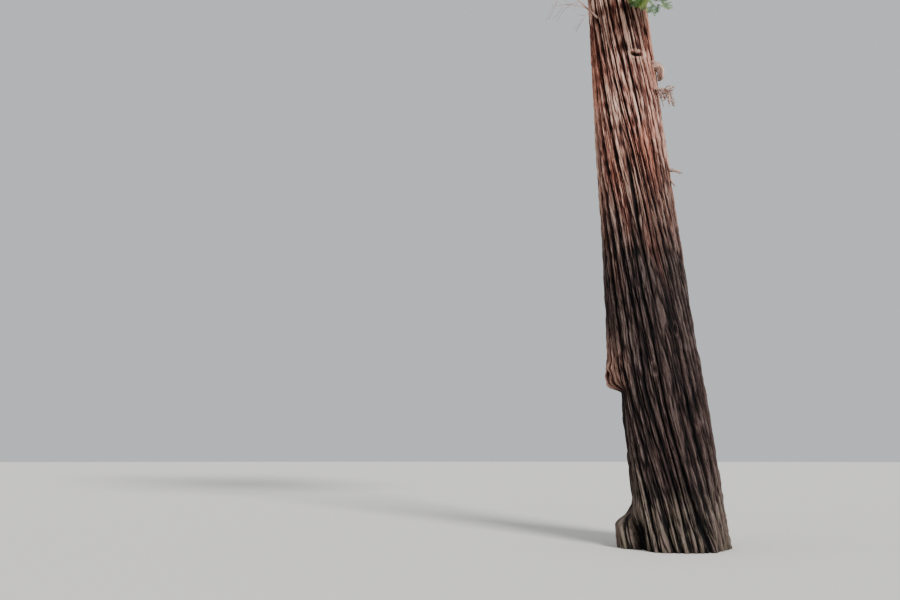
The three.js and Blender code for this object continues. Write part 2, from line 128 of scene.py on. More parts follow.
# Side twigs
LOW_SPRAYS, TOP_SPRAYS = 7, 5
BARE_STEM = 0.3
BARE_AFTER_BOUGH = 0.06
TIP_SINK = 0.03
TIP_STEP = 0.08
SPRAY_LENGTH = 0.74
LEAST_SPRAY = 0.6
INNER_SIZE, OUTER_SIZE = 1.1, 0.72
SIZE_RANGE = (0.9, 1.12)
SPRAY_WIDTH = 0.5
SPRAY_DROOP = 0.22
OPEN_FAN, CLOSED_FAN = math.radians(76), math.radians(34)
FAN_STRAY = 0.15
LIFTS = (-0.25, -0.8, 0.5, -0.55, 0.15)
LIFT_STRAY = 0.1
STEEPEST = 0.85
ROLL = 0.8
STALK = 0.16
FIRST_TOOTH, LAST_TOOTH = 0.4, 0.74
TOOTH_DROOP = 0.12

# Space that each mass keeps to
CELL_MIDDLE = 0.6
CELL_MARGIN = 0.025
LIMB_MARGIN = 0.095
TRUNK_MARGIN = 0.11
STRETCHES = 6
SHRINK = 0.85
SHRINK_TRIES = 7

# Leader, and what grows on the bare trunk
LEADER_DRIFT = 0.04
LEADER_SPAN = 0.8
SPRIG = dict(height=7.8, azimuth=-62, length=0.6, radius=0.016, tip=LIMB_TIP_RADIUS, rise=0.35, sag=0.75)
STUB = dict(height=6.56, azimuth=-14, length=0.11, radius=0.095, tip=0.062, rise=0.1, sag=0.0)
TANGLE = dict(height=6.27, azimuth=-24, length=0.25, radius=0.015, tip=0.006, rise=0.1, sag=0.35)
SNAG = dict(height=5.04, azimuth=-12, length=0.19, radius=0.015, tip=0.006, rise=0.4, sag=0.6)
DEAD_BRANCH = dict(height=7.27, azimuth=225, length=0.9, radius=0.02, tip=0.006, rise=0.3, sag=-0.25)

# Bark mesh: heights of the pieces' joints, columns round each, and the height between rows
BARK_JOINTS = (0.0, 3.6, 8.0, 16.0, 26.0, LEADER_FOOT)
BARK_COLUMNS = (560, 560, 280, 140, 140)
BARK_ROWS = (0.025, 0.028, 0.038, 0.05, 0.07)
# Where the rows are closer, at the burl's lip and at the knot: lowest, highest, and the height between them
CLOSE_ROWS = ((LIP_HEIGHT - 1.6 * LIP_DEPTH, LIP_HEIGHT + 0.6 * LIP_DEPTH, 0.008), (6.62, 6.78, 0.012))

# Bark relief
BARK_RIDGES = 34
BARK_DEPTH = 0.078  # of the radius
CREST = 0.42  # share of the depth that stands out past the mean surface
DEEPEST = 1.25  # the depth at which a furrow is fully dark, partly the bark's own dark brown and partly painted shade
HOLLOW_SHADE = 0.95
BURL_SMOOTH, HOLLOW_SMOOTH = 0.35, 0.45  # shares of the furrows that are missing there
BURL_SINK = 0.015
RAGGED_RISE = (0.2, 1.0)  # heights between which the edges of burl, hollow and fold grow ragged

# Furrows: sharpness, mean depth, least depth, greatest depth
MAIN_FURROWS = (4.2, 0.85, 0.15, 1.3)
HALF_FURROWS = (2.6, 0.25, 0.0, 0.95)

# Noises on the bark: strength, height of a cell, cells round the trunk, seed
WANDER, WAVER = (1.3, 3.4, 9, 1), (0.45, 1.5, 24, 2)
MAIN_VARIES = (1.1, 1.6, 34, 3)
HALF_WAVER, HALF_VARIES = (0.8, 1.9, 26, 4), (1.3, 1.1, 40, 9)
LONG_CRACKS, SHORT_CRACKS = (0.44, 0.62, 92, 5), (0.36, 0.34, 150, 6)
RIDGE_LUMPS, RIDGE_CRUMBS = (0.36, 1.1, 50, 10), (0.16, 0.16, 110, 13)
RAGGED_EDGE = (0.12, 0.5, 20, 12)
BURL_LUMPS, BURL_KNOBS = (0.06, 0.26, 20, 7), (0.05, 0.12, 40, 11)
HOLLOW_LUMPS = (0.05, 0.35, 22, 8)
TRUNK_SWELLS = (0.04, 3.5, 8, 14)  # of the radius
LONG_CRACK_WIDTH, SHORT_CRACK_WIDTH = 0.2, 0.24  # of the noise

# Marks on the bark: azimuth in degrees, height, half width, half height, depth
SCARS = ((299, 6.69, 0.085, 0.042, 1.5), (305, 2.69, 0.02, 0.06, 1.1), (271, 2.17, 0.03, 0.06, 0.6))
SCAR_SMOOTH, SCAR_SPREAD = 0.75, 1.6  # share of the furrows that a mark hides, and how many sizes out
RIM_RISE, RIM_PLACE, RIM_WIDTH = 0.25, 1.5, 0.45
LID = (299, 6.712, 0.04, 0.026)  # a lid of bark over the first mark's upper half leaves a crescent open
LID_LIFT = 1.7

# Wood
GRAIN_SHIFT = 1.7  # how far apart in the grain two tubes lie, so that their stripes differ
KNOB_RISE, KNOB_CELLS, KNOB_LENGTH = 0.22, 4, 6  # share of the radius, cells round a limb, radii along it
WOOD_ROOT = 0.02  # a limb's wood starts this share of its reach from the trunk's axis
BOUGH_OVERLAP = 0.01  # share of its reach by which a bough's wood runs into its mass
SPRIG_START = 0.3  # share of its reach at which the sprig's wood comes out of the trunk

# Side twigs: part steps between the solid's own, and hands. The first of each row is the solid's own.
BETWEEN = ((0, 1), (0, -1), (0.5, 1), (0.5, -1))
BETWEEN_SIZE = 0.82
LEADER_BETWEEN = ((0, 1), *((part / 8, 1) for part in range(8)))
LEADER_PLACES = (0.06, 0.74)  # of the lowest and the highest of the leader's extra twigs
LEADER_TWIGS = (0.62, 0.26)  # their lengths, in metres
LEADER_SLOPES = (0.05, 0.8)  # the sines of their slopes
TEETH_END = 0.8  # share of a side twig's length at which the wave of its outline ends
POINT_PLACE, POINT_SPAN = 1.04, 0.3  # where its outline closes to a point, and over what share
OUTLINE_SHARES = np.array([0.35, 0.6, 0.85, 1.0])  # where the outline is tried against the space

# Twiglets, as shares of their side twig's length
TWIGLET_GAP = 0.112  # metres between two on one side
TWIGLET_COUNTS = (6, 14)  # how many there are on one side, at least and at most
SPARSE = 4  # a side twig that keeps fewer twiglets than this is left out
TWIGLET_END = 0.97
FIRST_STEP, HAND_STEP = 0.35, 0.45  # steps to the first one, and from it to the one across
TWIGLET_STRAY = 0.02
TWIGLET_SIZES = (0.72, 1.0)  # of the outline's half width
SWEEP_ON, FURTHEST_TIP = 0.16, 1.02  # how far forward a tip lies, and where at most
STEM_STATIONS, STEM_SIDES, FORK_SIDES = 6, 5, 3
STEM_RADII = (0.0065, 0.0022)
FORK_RADII = (0.0036, 0.0028, 0.0014)
FORK_BOW = 0.02
BOX_SLACK = 0.14  # metres by which needles may pass the box of all the solids

# Sprays of needles
SPRAY_SHARE = 0.24  # a spray's length, as a share of its side twig's
SPRAY_SIZES = (0.18, 0.42)  # its least and greatest length, in metres
SPRAY_VARIES = (0.85, 1.15)
TIP_SPRAY_BACK = 0.7  # share of its length by which the spray at a twiglet's tip starts behind the tip
SIDE_SPRAYS = ((0.3, 1), (0.58, -1), (0.8, 1))  # places on a twiglet, and sides
THIN_ABOVE = 0.55  # share of the crown's height above which a twiglet has all of them
LOW_SIDE_SPRAYS = 2  # how many it has below that
SIDE_SPRAY_STRAY, SIDE_SPRAY_SIZE = 0.06, 0.85
SIDE_SPRAY_LEAN = (0.75, 1.0)  # radians
END_SPRAY = (0.86, 1.0)  # shares of a side twig between which its last spray points
SPRAY_ROLL = 0.45  # radians by which a spray may turn about its own twig
SPRAY_REACH = 1.1  # share of a spray's length that has to be in the space
STEM_SPRAYS = 90  # sprays on the leader's own stem, below the first twigs that its space has room for
STEM_SPRAY_PLACES = (-0.12, 0.42)  # of the lowest and the highest
STEM_SPRAY_LENGTHS = (0.34, 0.24)  # in metres
STEM_SPRAY_SLOPE = 0.5  # the sine of their slope
FRESH_AND_SUNLIT_BY_CHANCE, FRESH_AND_SUNLIT_BY_PLACE = 0.55, 0.45  # how much chance and the place on a limb lighten a green: partly fresher growth, partly painted sunlight on outer sprays and painted shade on inner ones
BROWN_SHARE = 0.035

# One spray of unit length: (along, across, up) of its twig's ribbon and of the needle that ends it
RIBBON = ((0, -0.012, 0), (0, 0.012, 0), (1, 0.004, 0), (1, -0.004, 0))
END_NEEDLE = ((0.97, -0.02, 0.002), (0.97, 0.02, 0.002), (1.12, 0, -0.01))
NEEDLES = 10  # pairs in a spray
NEEDLE_FEET = (0.05, 0.92)  # places of the first and the last pair
NEEDLE_LENGTH, NEEDLE_WIDTH = 0.34, 0.92  # the width is a share of the step between two pairs
NEEDLE_WAVE, NEEDLE_FULLNESS = (0.2, 0.86), 0.8
NEEDLE_LEAN = math.radians(52)
NEEDLE_RISE, NEEDLE_DROOP = 0.004, 0.12

# Joined pieces
BAND_SPRAYS = 7000  # at most in one piece of needles
TWIG_BANDS = (("twigs_low", 0, 10), ("twigs_middle", 10, 22), ("twigs_high", 22, LIMBS + 1))

# Dead twigs, and the finer ones on them
DEAD_STEP, DEAD_END = 0.6, 0.95  # steps to the first one, and where the last one is at most
DEAD_ANGLES = (0.5, 1.2)  # radians
DEAD_REACHES = (0.33, 0.605)  # of the branch's span
DEAD_RISES, DEAD_SAG = (-0.5, 0.9), 0.4
DEAD_GIRTH, EXTRA_GIRTH = 0.5, 0.7
FINE_PLACES = (0.3, 0.6)  # of the first one, and the stretch that they share
FINE_ANGLE, FINE_RISE = 1.4, 1.2
FINE_REACHES, FINE_SAGS = (0.35, 0.7), (-0.4, 1.1)
FINE_GIRTH, FINE_TIP = 0.65, 0.0018
TANGLE_TWIGS = dict(
    twigs=4, extra=30, start=0.5, fine_count=4, girth=2.0, reaches=(0.4, 0.7), rises=(-4.4, 0.2))
SNAG_TWIGS = dict(twigs=2, extra=1, start=0.5, fine_count=1, girth=1.2)
BRANCH_TWIGS = dict(twigs=3, extra=4, start=0.2)

# Paths out from the bark and up, and the girth at each place: the knob that hooks down, and the snag's twigs
STUB_PATH = (
    (-0.09, -0.04), (-0.03, -0.01), (0.03, -0.01), (0.08, -0.05), (0.1, -0.12), (0.085, -0.19),
    (0.06, -0.245))
STUB_RADII = (0.09, 0.085, 0.068, 0.052, 0.045, 0.038, 0.018)
STUB_WOOD = dict(sides=52, stations_between=8, lumps=0.75)
SNAG_OUT = ((-0.06, 0.12), (-0.005, 0.02), (0.02, -0.05), (0.07, -0.06), (0.12, -0.075), (0.155, -0.12))
SNAG_OUT_RADII = (0.016, 0.017, 0.015, 0.013, 0.011, 0.005)
SNAG_DOWN = ((-0.05, 0.06), (0.0, -0.02), (0.008, -0.12), (0.035, -0.22), (0.08, -0.285))
SNAG_DOWN_RADII = (0.012, 0.016, 0.015, 0.012, 0.005)
SNAG_SIDES = 8
SMOOTHINGS = 3  # how often each station is averaged with its neighbours
LUMP_CELLS, STRIP_CELLS, STRIP_SHARE = 6, 13, 0.6
LUMPS_A_PLACE = 0.5  # cells of noise along the path between two places
STRIP_WIND, STRIP_CROWD = 0.05, 0.4  # turns and cells of a strip, for each cell of the lumps

# Colours as a screen shows them, the bark's with their places from the crests to the bottom of the furrows,
# where the darkest tones are partly painted shade
BRIGHT_BARK = (
    (0.0, (224, 186, 168)), (0.24, (182, 136, 121)), (0.5, (128, 87, 76)), (0.78, (66, 41, 37)),
    (1.0, (26, 17, 16)))
# The lower trunk's tones: greyer bark, and darker as painted shade
GREY_AND_SHADED_BARK = ((0.0, (80, 71, 69)), (0.25, (50, 43, 42)), (0.55, (28, 24, 25)), (1.0, (11, 10, 11)))
WARM_TINT, STREAK_TINT = (226, 188, 176), (150, 128, 120)
# A pale tone in patches, partly bleached bark and partly painted sunlight
# A paler tone at the foot, partly painted sunlight
# A paler tone on the burl, partly painted light
BLEACHED_AND_SUNLIT, PALE_FOOT_AND_SUN_TONE, PALE_BURL_AND_LIT_TONE, MOSS = (232, 200, 182), (134, 120, 110), (186, 146, 131), (104, 100, 80)
WOOD_PLACES = (0.38, 0.5, 0.62)  # of the three tones of other wood, from its cracks to its crests
TWIG_TONES = ((56, 40, 32), (92, 66, 50), (122, 96, 74))
LIMB_TONES = ((62, 42, 35), (112, 80, 66), (150, 118, 100))
DEAD_TONES = ((74, 50, 43), (168, 132, 118), (222, 192, 178))
# Greens from deep to fresh, then a brown: the deep ones partly painted shade, the fresh ones partly painted
# sunlight
NEEDLE_TONES = ((30, 52, 34), (42, 70, 40), (60, 90, 46), (82, 110, 54), (112, 134, 68), (118, 82, 50))
GREENS = len(NEEDLE_TONES) - 1  # the last tone is the brown of dying needles
FLOOR_TONE, SKY_TONE = (214, 212, 206), (226, 229, 232)

# Heights on the trunk between which a tone comes in, from none to all of it
# Greyer bark and painted shade on the lower trunk
GREY_AND_SHADE_HEIGHTS = (5.7, 3.3)
# Paler crests at the foot, partly painted sunlight
PALE_FOOT_AND_SUN_HEIGHTS = (1.0, 0.45)
DAMP_HEIGHTS = (1.05, 0.1)

# Floor, lights and camera
FLOOR_RADIUS, FLOOR_CORNERS, FLOOR_DROP = 400.0, 96, 0.004
KEY_LIGHT = dict(energy=4.2, angle=16, towards=(-0.6, 0.66, -0.66))
FILL_LIGHT = dict(energy=0.5, angle=60, towards=(0.75, 0.5, -0.35))
SKY_STRENGTH = 0.8
CAMERA_PLACE = (0, -9.85, 1.067)
CAMERA_TILT, CAMERA_TURN = 12.6, 16.5  # degrees
CAMERA_LENS, CAMERA_SENSOR, CAMERA_REACH = 28.6, 36, 1000


def chance(a, b, c):
    """Numbers from 0 to 1 that depend only on three seeds: the fraction of a large multiple of a sine."""
    return np.sin(a * 12.9898 + b * 78.233 + c * 37.719) * 43758.5453 % 1.0


def stray(span, a, b, c):
    """Numbers between minus and plus a span."""
    return span * (2 * chance(a, b, c) - 1)


def mix(a, b, share):
    """The value at a share of the way from a to b."""
    return a + (b - a) * share


def ramp(value, low, high):
    """0 below low, 1 above high, and a smooth cubic between."""
    share = np.clip((value - low) / (high - low), 0, 1)
    return share * share * (3 - 2 * share)


def hill(offset, half_width):
    """Half a wave of cosine: 1 at no offset, 0 at the half width and past it."""
    return 0.5 + 0.5 * np.cos(np.pi * np.minimum(1, np.abs(offset) / half_width))


def turn(azimuth, middle):
    """The angle from a middle to an azimuth, between minus and plus a half turn."""
    return (azimuth - middle + np.pi) % (2 * np.pi) - np.pi


def unit(vectors):
    """Vectors scaled to length 1."""
    return vectors / np.linalg.norm(vectors, axis=-1, keepdims=True)


def level(azimuth):
    """The level direction at an azimuth."""
    return np.stack([np.cos(azimuth), np.sin(azimuth), 0 * azimuth], -1)


def turned(vectors, axes, angles):
    """Vectors turned about unit axes: the part along the axis stays and the rest goes round."""
    angles = np.asarray(angles)[..., None]
    along = np.sum(vectors * axes, -1, keepdims=True) * axes
    return along + (vectors - along) * np.cos(angles) + np.cross(axes, vectors) * np.sin(angles)


def weave(share, along, cells, seed):
    """Smooth noise on a tube, about -0.7 to 0.7: random slopes at the corners of cells, blended between them.

    The share goes round the tube and the cells are counted round it, so that it closes.
    """
    x, y = (share % 1.0) * cells, along
    left, low = np.floor(x), np.floor(y)
    x, y = x - left, y - low
    ease_x, ease_y = x * x * x * (x * (6 * x - 15) + 10), y * y * y * (y * (6 * y - 15) + 10)

    def corner(dx, dy):
        """The plane through nought at one corner of the cell, by its random slope."""
        angle = 2 * np.pi * chance((left + dx) % cells, low + dy, seed)
        return np.cos(angle) * (x - dx) + np.sin(angle) * (y - dy)

    return mix(mix(corner(0, 0), corner(1, 0), ease_x), mix(corner(0, 1), corner(1, 1), ease_x), ease_y)


def trunk_axis(z):
    """The trunk's middle at a height: it leans to -X, less and less, and bows to +Y by a squared sine."""
    z = np.asarray(z, float)
    across = -math.tan(LEAN) * LEAN_REACH * (1 - np.exp(-z / LEAN_REACH))
    return np.stack([across, SWEEP * np.sin(np.pi * z / TREE_HEIGHT) ** 2, z], -1)


def trunk_radius(z):
    """The mean radius at a height: a power of the height left above, plus a swelling that fades upwards."""
    taper = TAPER_DIAMETER * np.clip(1 - z / TREE_HEIGHT, 0, 1) ** TAPER_POWER
    return (taper + SWELL_DIAMETER * np.exp(-np.hypot(z, SWELL_FLAT) / SWELL_FADE)) / 2


def burl_share(azimuth, z):
    """1 in the middle of the burl over the lip, 0 outside it."""
    over_lip = ramp(z, LIP_HEIGHT - LIP_DEPTH, LIP_HEIGHT)
    return hill(turn(azimuth, BURL_AZIMUTH), BURL_HALF_ANGLE) * over_lip * (1 - ramp(z, LIP_HEIGHT, BURL_TOP))


def hollow_share(azimuth, z):
    """1 in the middle of the hollow under the lip, 0 outside it."""
    under_lip = 1 - ramp(z, LIP_HEIGHT - LIP_DEPTH, LIP_HEIGHT)
    return (hill(turn(azimuth, HOLLOW_AZIMUTH), HOLLOW_HALF_ANGLE) * under_lip
            * ramp(z, HOLLOW_FOOT, HOLLOW_FOOT + HOLLOW_RISE))


def fold_share(azimuth, z):
    """1 in the bottom of the fold between the left root and the front one, 0 outside it."""
    return hill(turn(azimuth, FOLD_AZIMUTH), FOLD_HALF_ANGLE) * (1 - ramp(z, FOLD_FULL, FOLD_TOP))


def trunk_forms(azimuth, z):
    """What the roots and the burl add to the radius, and the hollow and the fold take from it."""
    sway = ROOT_SWAYS[0] * np.sin(2 * azimuth + 1) + ROOT_SWAYS[1] * np.sin(3 * azimuth)
    lobes = (0.5 + 0.5 * np.cos(ROOTS * azimuth + sway)) ** ROOT_SHARPNESS
    roots = ROOT_REACH * lobes * np.exp(-z / ROOT_FADE)
    depth = HOLLOW_DEPTH + HOLLOW_GAIN * (1 - z / LIP_HEIGHT) ** 2
    return (roots + BURL_BULGE * burl_share(azimuth, z) - depth * hollow_share(azimuth, z)
            - FOLD_DEPTH * fold_share(azimuth, z))


def ridge_twist(z):
    """How far the ridges have wound round the trunk at a height."""
    return -TWIST * (1 - np.exp(-z / TWIST_REACH))


def rough(kind, share, z):
    """One of the bark's noises at a share of the way round and a height: its strength times its weave."""
    strength, tall, cells, seed = kind
    return strength * weave(share, z / tall, cells, seed)


def furrows(phase, kind, varied):
    """Furrows, one for each whole phase and 0 on the ridges: a power of a wave, times a depth that varies."""
    sharpness, mean, least, greatest = kind
    return (0.5 - 0.5 * np.cos(2 * np.pi * phase)) ** sharpness * np.clip(mean + varied, least, greatest)


def cracks(kind, width, share, z):
    """Branching lines, full strength in their middle: the places where a noise is nearly nought."""
    strength, tall, cells, seed = kind
    return strength * np.clip(1 - np.abs(weave(share, z / tall, cells, seed)) / width, 0, 1)


def bark_depth(share, z):
    """How deep the bark lies below its crests, 0 to 1.4: wandering furrows, strips on the ridges, cracks.

    The main furrows' phase drifts by noise, and everything finer drifts with them. Furrows twice as close and
    lines where a noise is nearly nought cut the ridges into strips, here deep and there shallow.
    """
    share = share + (rough(WANDER, share, z) + rough(WAVER, share, z)) / BARK_RIDGES
    main = furrows(BARK_RIDGES * share, MAIN_FURROWS, rough(MAIN_VARIES, share, z))
    half = furrows(
        2 * BARK_RIDGES * share + rough(HALF_WAVER, share, z), HALF_FURROWS, rough(HALF_VARIES, share, z))
    strips = (cracks(LONG_CRACKS, LONG_CRACK_WIDTH, share, z)
              + cracks(SHORT_CRACKS, SHORT_CRACK_WIDTH, share, z))
    lumps = rough(RIDGE_LUMPS, share, z) + rough(RIDGE_CRUMBS, share, z)
    return np.maximum(main, half) + strips + lumps


def scar(azimuth, z, middle, height, half_width, half_height):
    """How far a place is from a mark's middle, as a multiple of the mark's size across and up."""
    across = turn(azimuth, math.radians(middle)) * trunk_radius(z)
    return np.hypot(across / half_width, (z - height) / half_height)


def bark_surface(turns, z):
    """Points of the bark; its furrows from 0 to 1, which also carry painted shade in the furrows, the hollow
    and the fold; the burl from 0 to 1; and the points straightened along the grain.

    A column keeps to one ridge: it winds round the trunk as it climbs. A mark is a dent with a raised rim, on
    which the furrows fade out, and a lid stands out over one of them. The burl and the hollow are lumpy and
    their edges ragged by noise, and the whole trunk swells a little by a slow one.
    """
    azimuth = 2 * np.pi * turns + ridge_twist(z)
    radius = trunk_radius(z)
    ragged = z + rough(RAGGED_EDGE, turns, z) * ramp(z, *RAGGED_RISE)
    burl, hollow, fold = (form(azimuth, ragged) for form in (burl_share, hollow_share, fold_share))
    depth = bark_depth(turns, z)
    for *place, deep in SCARS:
        reach = scar(azimuth, z, *place)
        depth = depth * (1 - SCAR_SMOOTH * np.exp(-((reach / SCAR_SPREAD) ** 4)))
        depth = depth + deep * np.exp(-(reach**2))
        depth = depth - RIM_RISE * np.exp(-(((reach - RIM_PLACE) / RIM_WIDTH) ** 2))
    depth = depth - LID_LIFT * np.exp(-(scar(azimuth, z, *LID) ** 2))
    relief = BARK_DEPTH * radius * (CREST - depth * (1 - HOLLOW_SMOOTH * hollow) * (1 - BURL_SMOOTH * burl))
    relief += burl * (rough(BURL_LUMPS, turns, z) + rough(BURL_KNOBS, turns, z) - BURL_SINK)
    relief += radius * rough(TRUNK_SWELLS, turns, z) - hollow * rough(HOLLOW_LUMPS, turns, z)
    out = level(azimuth) * (radius + trunk_forms(azimuth, ragged) + relief)[..., None]
    grain = level(2 * np.pi * turns) * radius[..., None] + UP * z[..., None]
    # Painted shade: deeper furrows and marks, and the hollow and the fold, are darker
    shade = np.clip(np.maximum(depth / DEEPEST, HOLLOW_SHADE * np.maximum(hollow, fold)), 0, 1)
    return trunk_axis(z) + out, shade, burl, grain


def ring_faces(rows, columns, loose_ends=False):
    """Triangles of a tube of rings, with a fan to one more point at each end.

    Loose ends take ring points of their own, after the rings, so that the wall's shading stays even.
    """
    i, j = np.meshgrid(np.arange(rows - 1), np.arange(columns), indexing="ij")
    right = (j + 1) % columns
    a, b, c, d = i * columns + j, i * columns + right, (i + 1) * columns + right, (i + 1) * columns + j
    wall = np.stack([a, b, c, a, c, d], -1).reshape(-1, 3)
    j = np.arange(columns)
    right = (j + 1) % columns
    foot, head = (rows, rows + 1) if loose_ends else (0, rows - 1)
    middles = (rows + 2 * loose_ends) * columns
    foot_fan = np.stack([0 * j + middles, foot * columns + right, foot * columns + j], -1)
    head_fan = np.stack([0 * j + middles + 1, head * columns + j, head * columns + right], -1)
    return np.concatenate([wall, foot_fan, head_fan])


def tubes(paths, radii, side, sides):
    """Tubes along many paths with as many stations each: rings of points square to the path, and two ends.

    The paths are an array of tubes by stations by 3, the radii one of tubes by stations, and each side is a
    direction square to its path. Returns points, triangles, and the points straightened along the grain.
    """
    count, stations = radii.shape
    along = unit(np.gradient(paths, axis=1))
    side = unit(side)[:, None, :] + 0 * paths
    over = unit(np.cross(side, along))
    angle = 2 * np.pi * (np.arange(sides) + 0.5) / sides
    ring = over[:, :, None] * np.sin(angle)[:, None] - side[:, :, None] * np.cos(angle)[:, None]
    points = paths[:, :, None] + ring * radii[:, :, None, None]
    points = np.concatenate([points.reshape(count, -1, 3), paths[:, :1], paths[:, -1:]], 1)
    faces = ring_faces(stations, sides) + (np.arange(count) * points.shape[1])[:, None, None]
    steps = np.linalg.norm(np.diff(paths, axis=1), axis=2)
    ends = UP * np.concatenate([np.zeros((count, 1)), np.cumsum(steps, 1)], 1)[..., None]
    grain = level(angle) * radii[:, :, None, None] + ends[:, :, None]
    grain = np.concatenate([grain.reshape(count, -1, 3), ends[:, :1], ends[:, -1:]], 1)
    grain += (np.arange(count) * GRAIN_SHIFT)[:, None, None]
    return points.reshape(-1, 3), faces.reshape(-1, 3), grain.reshape(-1, 3)


def stacked(lots):
    """Several lots of arrays as one lot: each array is followed by its like in the next lot."""
    return tuple(np.concatenate(arrays) for arrays in zip(*lots))


def joined(lots):
    """Several lots of points, triangles and grains as one."""
    starts = np.cumsum([0, *(len(points) for points, faces, grain in lots)])
    return stacked([(points, faces + start, grain) for (points, faces, grain), start in zip(lots, starts)])


def knobbly(points, middle, knobs):
    """A tube's points, moved out from its middle line by a share of their distance. The two ends stay."""
    ring = points[:-2].reshape(*knobs.shape, 3)
    ring = middle[:, None] + (ring - middle[:, None]) * (1 + knobs[..., None])
    return np.concatenate([ring.reshape(-1, 3), points[-2:]])


def put_piece(name, points, faces, finishes, slot, nodes, worn=None, smooth=True, **attributes):
    """Puts points and triangles into an object at the origin, with its finishes and under the root body, and
    hides the solids that it stands for.
    """
    mesh = bpy.data.meshes.new(name)
    mesh.vertices.add(len(points))
    mesh.vertices.foreach_set("co", points.astype(np.float32).ravel())
    mesh.loops.add(faces.size)
    mesh.loops.foreach_set("vertex_index", faces.astype(np.int32).ravel())
    mesh.polygons.add(len(faces))
    mesh.polygons.foreach_set("loop_start", np.arange(0, faces.size, 3, dtype=np.int32))
    mesh.polygons.foreach_set("use_smooth", np.full(len(faces), smooth))
    for finish in finishes:
        mesh.materials.append(finish)
    if worn is not None:
        mesh.polygons.foreach_set("material_index", worn.astype(np.int32))
    for label, values in attributes.items():
        kind, field = ("FLOAT_VECTOR", "vector") if values.ndim == 2 else ("FLOAT", "value")
        mesh.attributes.new(label, kind, "POINT").data.foreach_set(field, values.ravel())
    mesh.update(calc_edges=True)
    piece = bpy.data.objects.new(name, mesh)
    bpy.context.collection.objects.link(piece)
    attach(piece, "root")
    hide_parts(*nodes)


def bark_rows(low, high, step):
    """Heights of a bark piece's rows: even steps, with closer ones at the burl's lip and at the knot."""
    rows = np.linspace(low, high, int(round((high - low) / step)) + 1)
    for near, far, close in CLOSE_ROWS:
        if low < near < high:
            rows = rows[(rows < near - step / 2) | (rows > far + step / 2)]
            rows = np.sort(np.concatenate([rows, np.arange(near, far, close)]))
    return rows


def with_ends(rings, middles):
    """Rings of values, then the first and the last ring again, then the two middles."""
    return np.concatenate([*rings, rings[0], rings[-1], middles])


def make_trunk(finish):
    """The bark in pieces, one above the other.

    Where the next one has half the columns, every second point of the last ring is put midway between its
    neighbours, so that no gap opens.
    """
    for i, (low, high) in enumerate(zip(BARK_JOINTS, BARK_JOINTS[1:])):
        columns = BARK_COLUMNS[i]
        rows = bark_rows(low, high, BARK_ROWS[i])
        turns, z = np.meshgrid(np.arange(columns) / columns, rows)
        # The furrows' depth, with painted shade in the furrows, the hollow and the fold
        points, furrow, burl, grain = bark_surface(turns, z)
        if i + 1 < len(BARK_COLUMNS) and BARK_COLUMNS[i + 1] < columns:
            points[-1, 1::2] = (points[-1, ::2] + np.roll(points[-1, ::2], -1, 0)) / 2
        ends = trunk_axis(rows[[0, -1]])
        put_piece(
            f"trunk_bark_{i + 1}", with_ends(points, ends), ring_faces(len(rows), columns, True), [finish],
            "bark", ["trunk"], grain=with_ends(grain, ends * UP), furrow=with_ends(furrow, np.ones(2)),
            burl=with_ends(burl, np.zeros(2)))


def make_limb(azimuth, **sizes):
    """A limb. Its reach is level, from the trunk's axis, and its span sizes what grows on it."""
    away = level(np.float64(azimuth))
    given = dict(span=sizes["reach"], tip=LIMB_TIP_RADIUS, start=0.0, whorl=0.0, away=away)
    return SimpleNamespace(**{**given, **sizes})


def crown_limb(k):
    """One limb of the crown: its place by a power of its number, its heading by the golden angle."""
    up = 1 - (1 - k / LIMBS) ** CROWDING
    height = mix(CROWN_FOOT, LEADER_FOOT, up)
    envelope = (1 - up) ** CROWN_POWER * mix(FOOT_REACH, 1, min(1, up / FULL_REACH_AT))
    reach = max(LEAST_REACH, CROWN_REACH * envelope * mix(*REACH_RANGE, chance(k, 2, 0)))
    return make_limb(
        FIRST_AZIMUTH + k * GOLDEN_ANGLE + stray(AZIMUTH_STRAY, k, 1, 0), seed=k, up=up, reach=reach,
        foot=trunk_axis(height), radius=min(LIMB_THICKNESS * reach, LIMB_TO_TRUNK * trunk_radius(height)),
        rise=mix(LOW_RISE, TOP_RISE, up) + stray(RISE_STRAY, k, 3, 0), sag=mix(LOW_SAG, TOP_SAG, up),
        start=BOUGH_END if k < BOUGHS else 0.0)


def leader_limb():
    """A limb that goes straight up from the trunk's tip, and is as thick there."""
    return make_limb(
        0.0, seed=LIMBS, up=1, reach=LEADER_DRIFT, span=LEADER_SPAN, foot=trunk_axis(LEADER_FOOT),
        radius=trunk_radius(LEADER_FOOT) / (1 + COLLAR), whorl=GOLDEN_ANGLE,
        rise=(TREE_HEIGHT - LEADER_FOOT) / (STEM_END * LEADER_DRIFT), sag=0.0)


def bare_limb(seed, height, azimuth, length, radius, tip, rise, sag):
    """A limb on the bare trunk: its length counts from the bark."""
    return make_limb(
        math.radians(azimuth), seed=seed, up=1, reach=trunk_radius(height) + length, span=length,
        foot=trunk_axis(height), radius=radius, tip=tip, rise=rise, sag=sag)


def limb_point(limb, t):
    """Points on a limb: it rises from the trunk and sags with the square of the way out."""
    t = np.asarray(t, float)[..., None]
    return limb.foot + limb.away * limb.reach * t + UP * limb.reach * (limb.rise * t - limb.sag * t * t)


def limb_way(limb, t):
    """The direction in which a limb runs at a place on it."""
    return unit(limb.away + UP * (limb.rise - 2 * limb.sag * t))


def limb_radius(limb, t):
    """A straight taper, with a collar where the limb leaves the trunk."""
    collar = 1 + COLLAR * np.maximum(0, 1 - t / COLLAR_SPAN)
    return mix(limb.radius, limb.tip, np.minimum(1, t / STEM_END)) * collar


CROWN = [crown_limb(k) for k in range(LIMBS)]
LEAFY = [*CROWN, leader_limb(), bare_limb(LIMBS + 1, **SPRIG)]
MIDDLES = np.array([limb_point(limb, CELL_MIDDLE) for limb in LEAFY])
BENDS = np.array([limb_point(limb, STEM_END * np.arange(STRETCHES + 1) / STRETCHES) for limb in LEAFY])
KEEP_OFF = np.array([limb.radius / 2 + LIMB_MARGIN for limb in LEAFY])


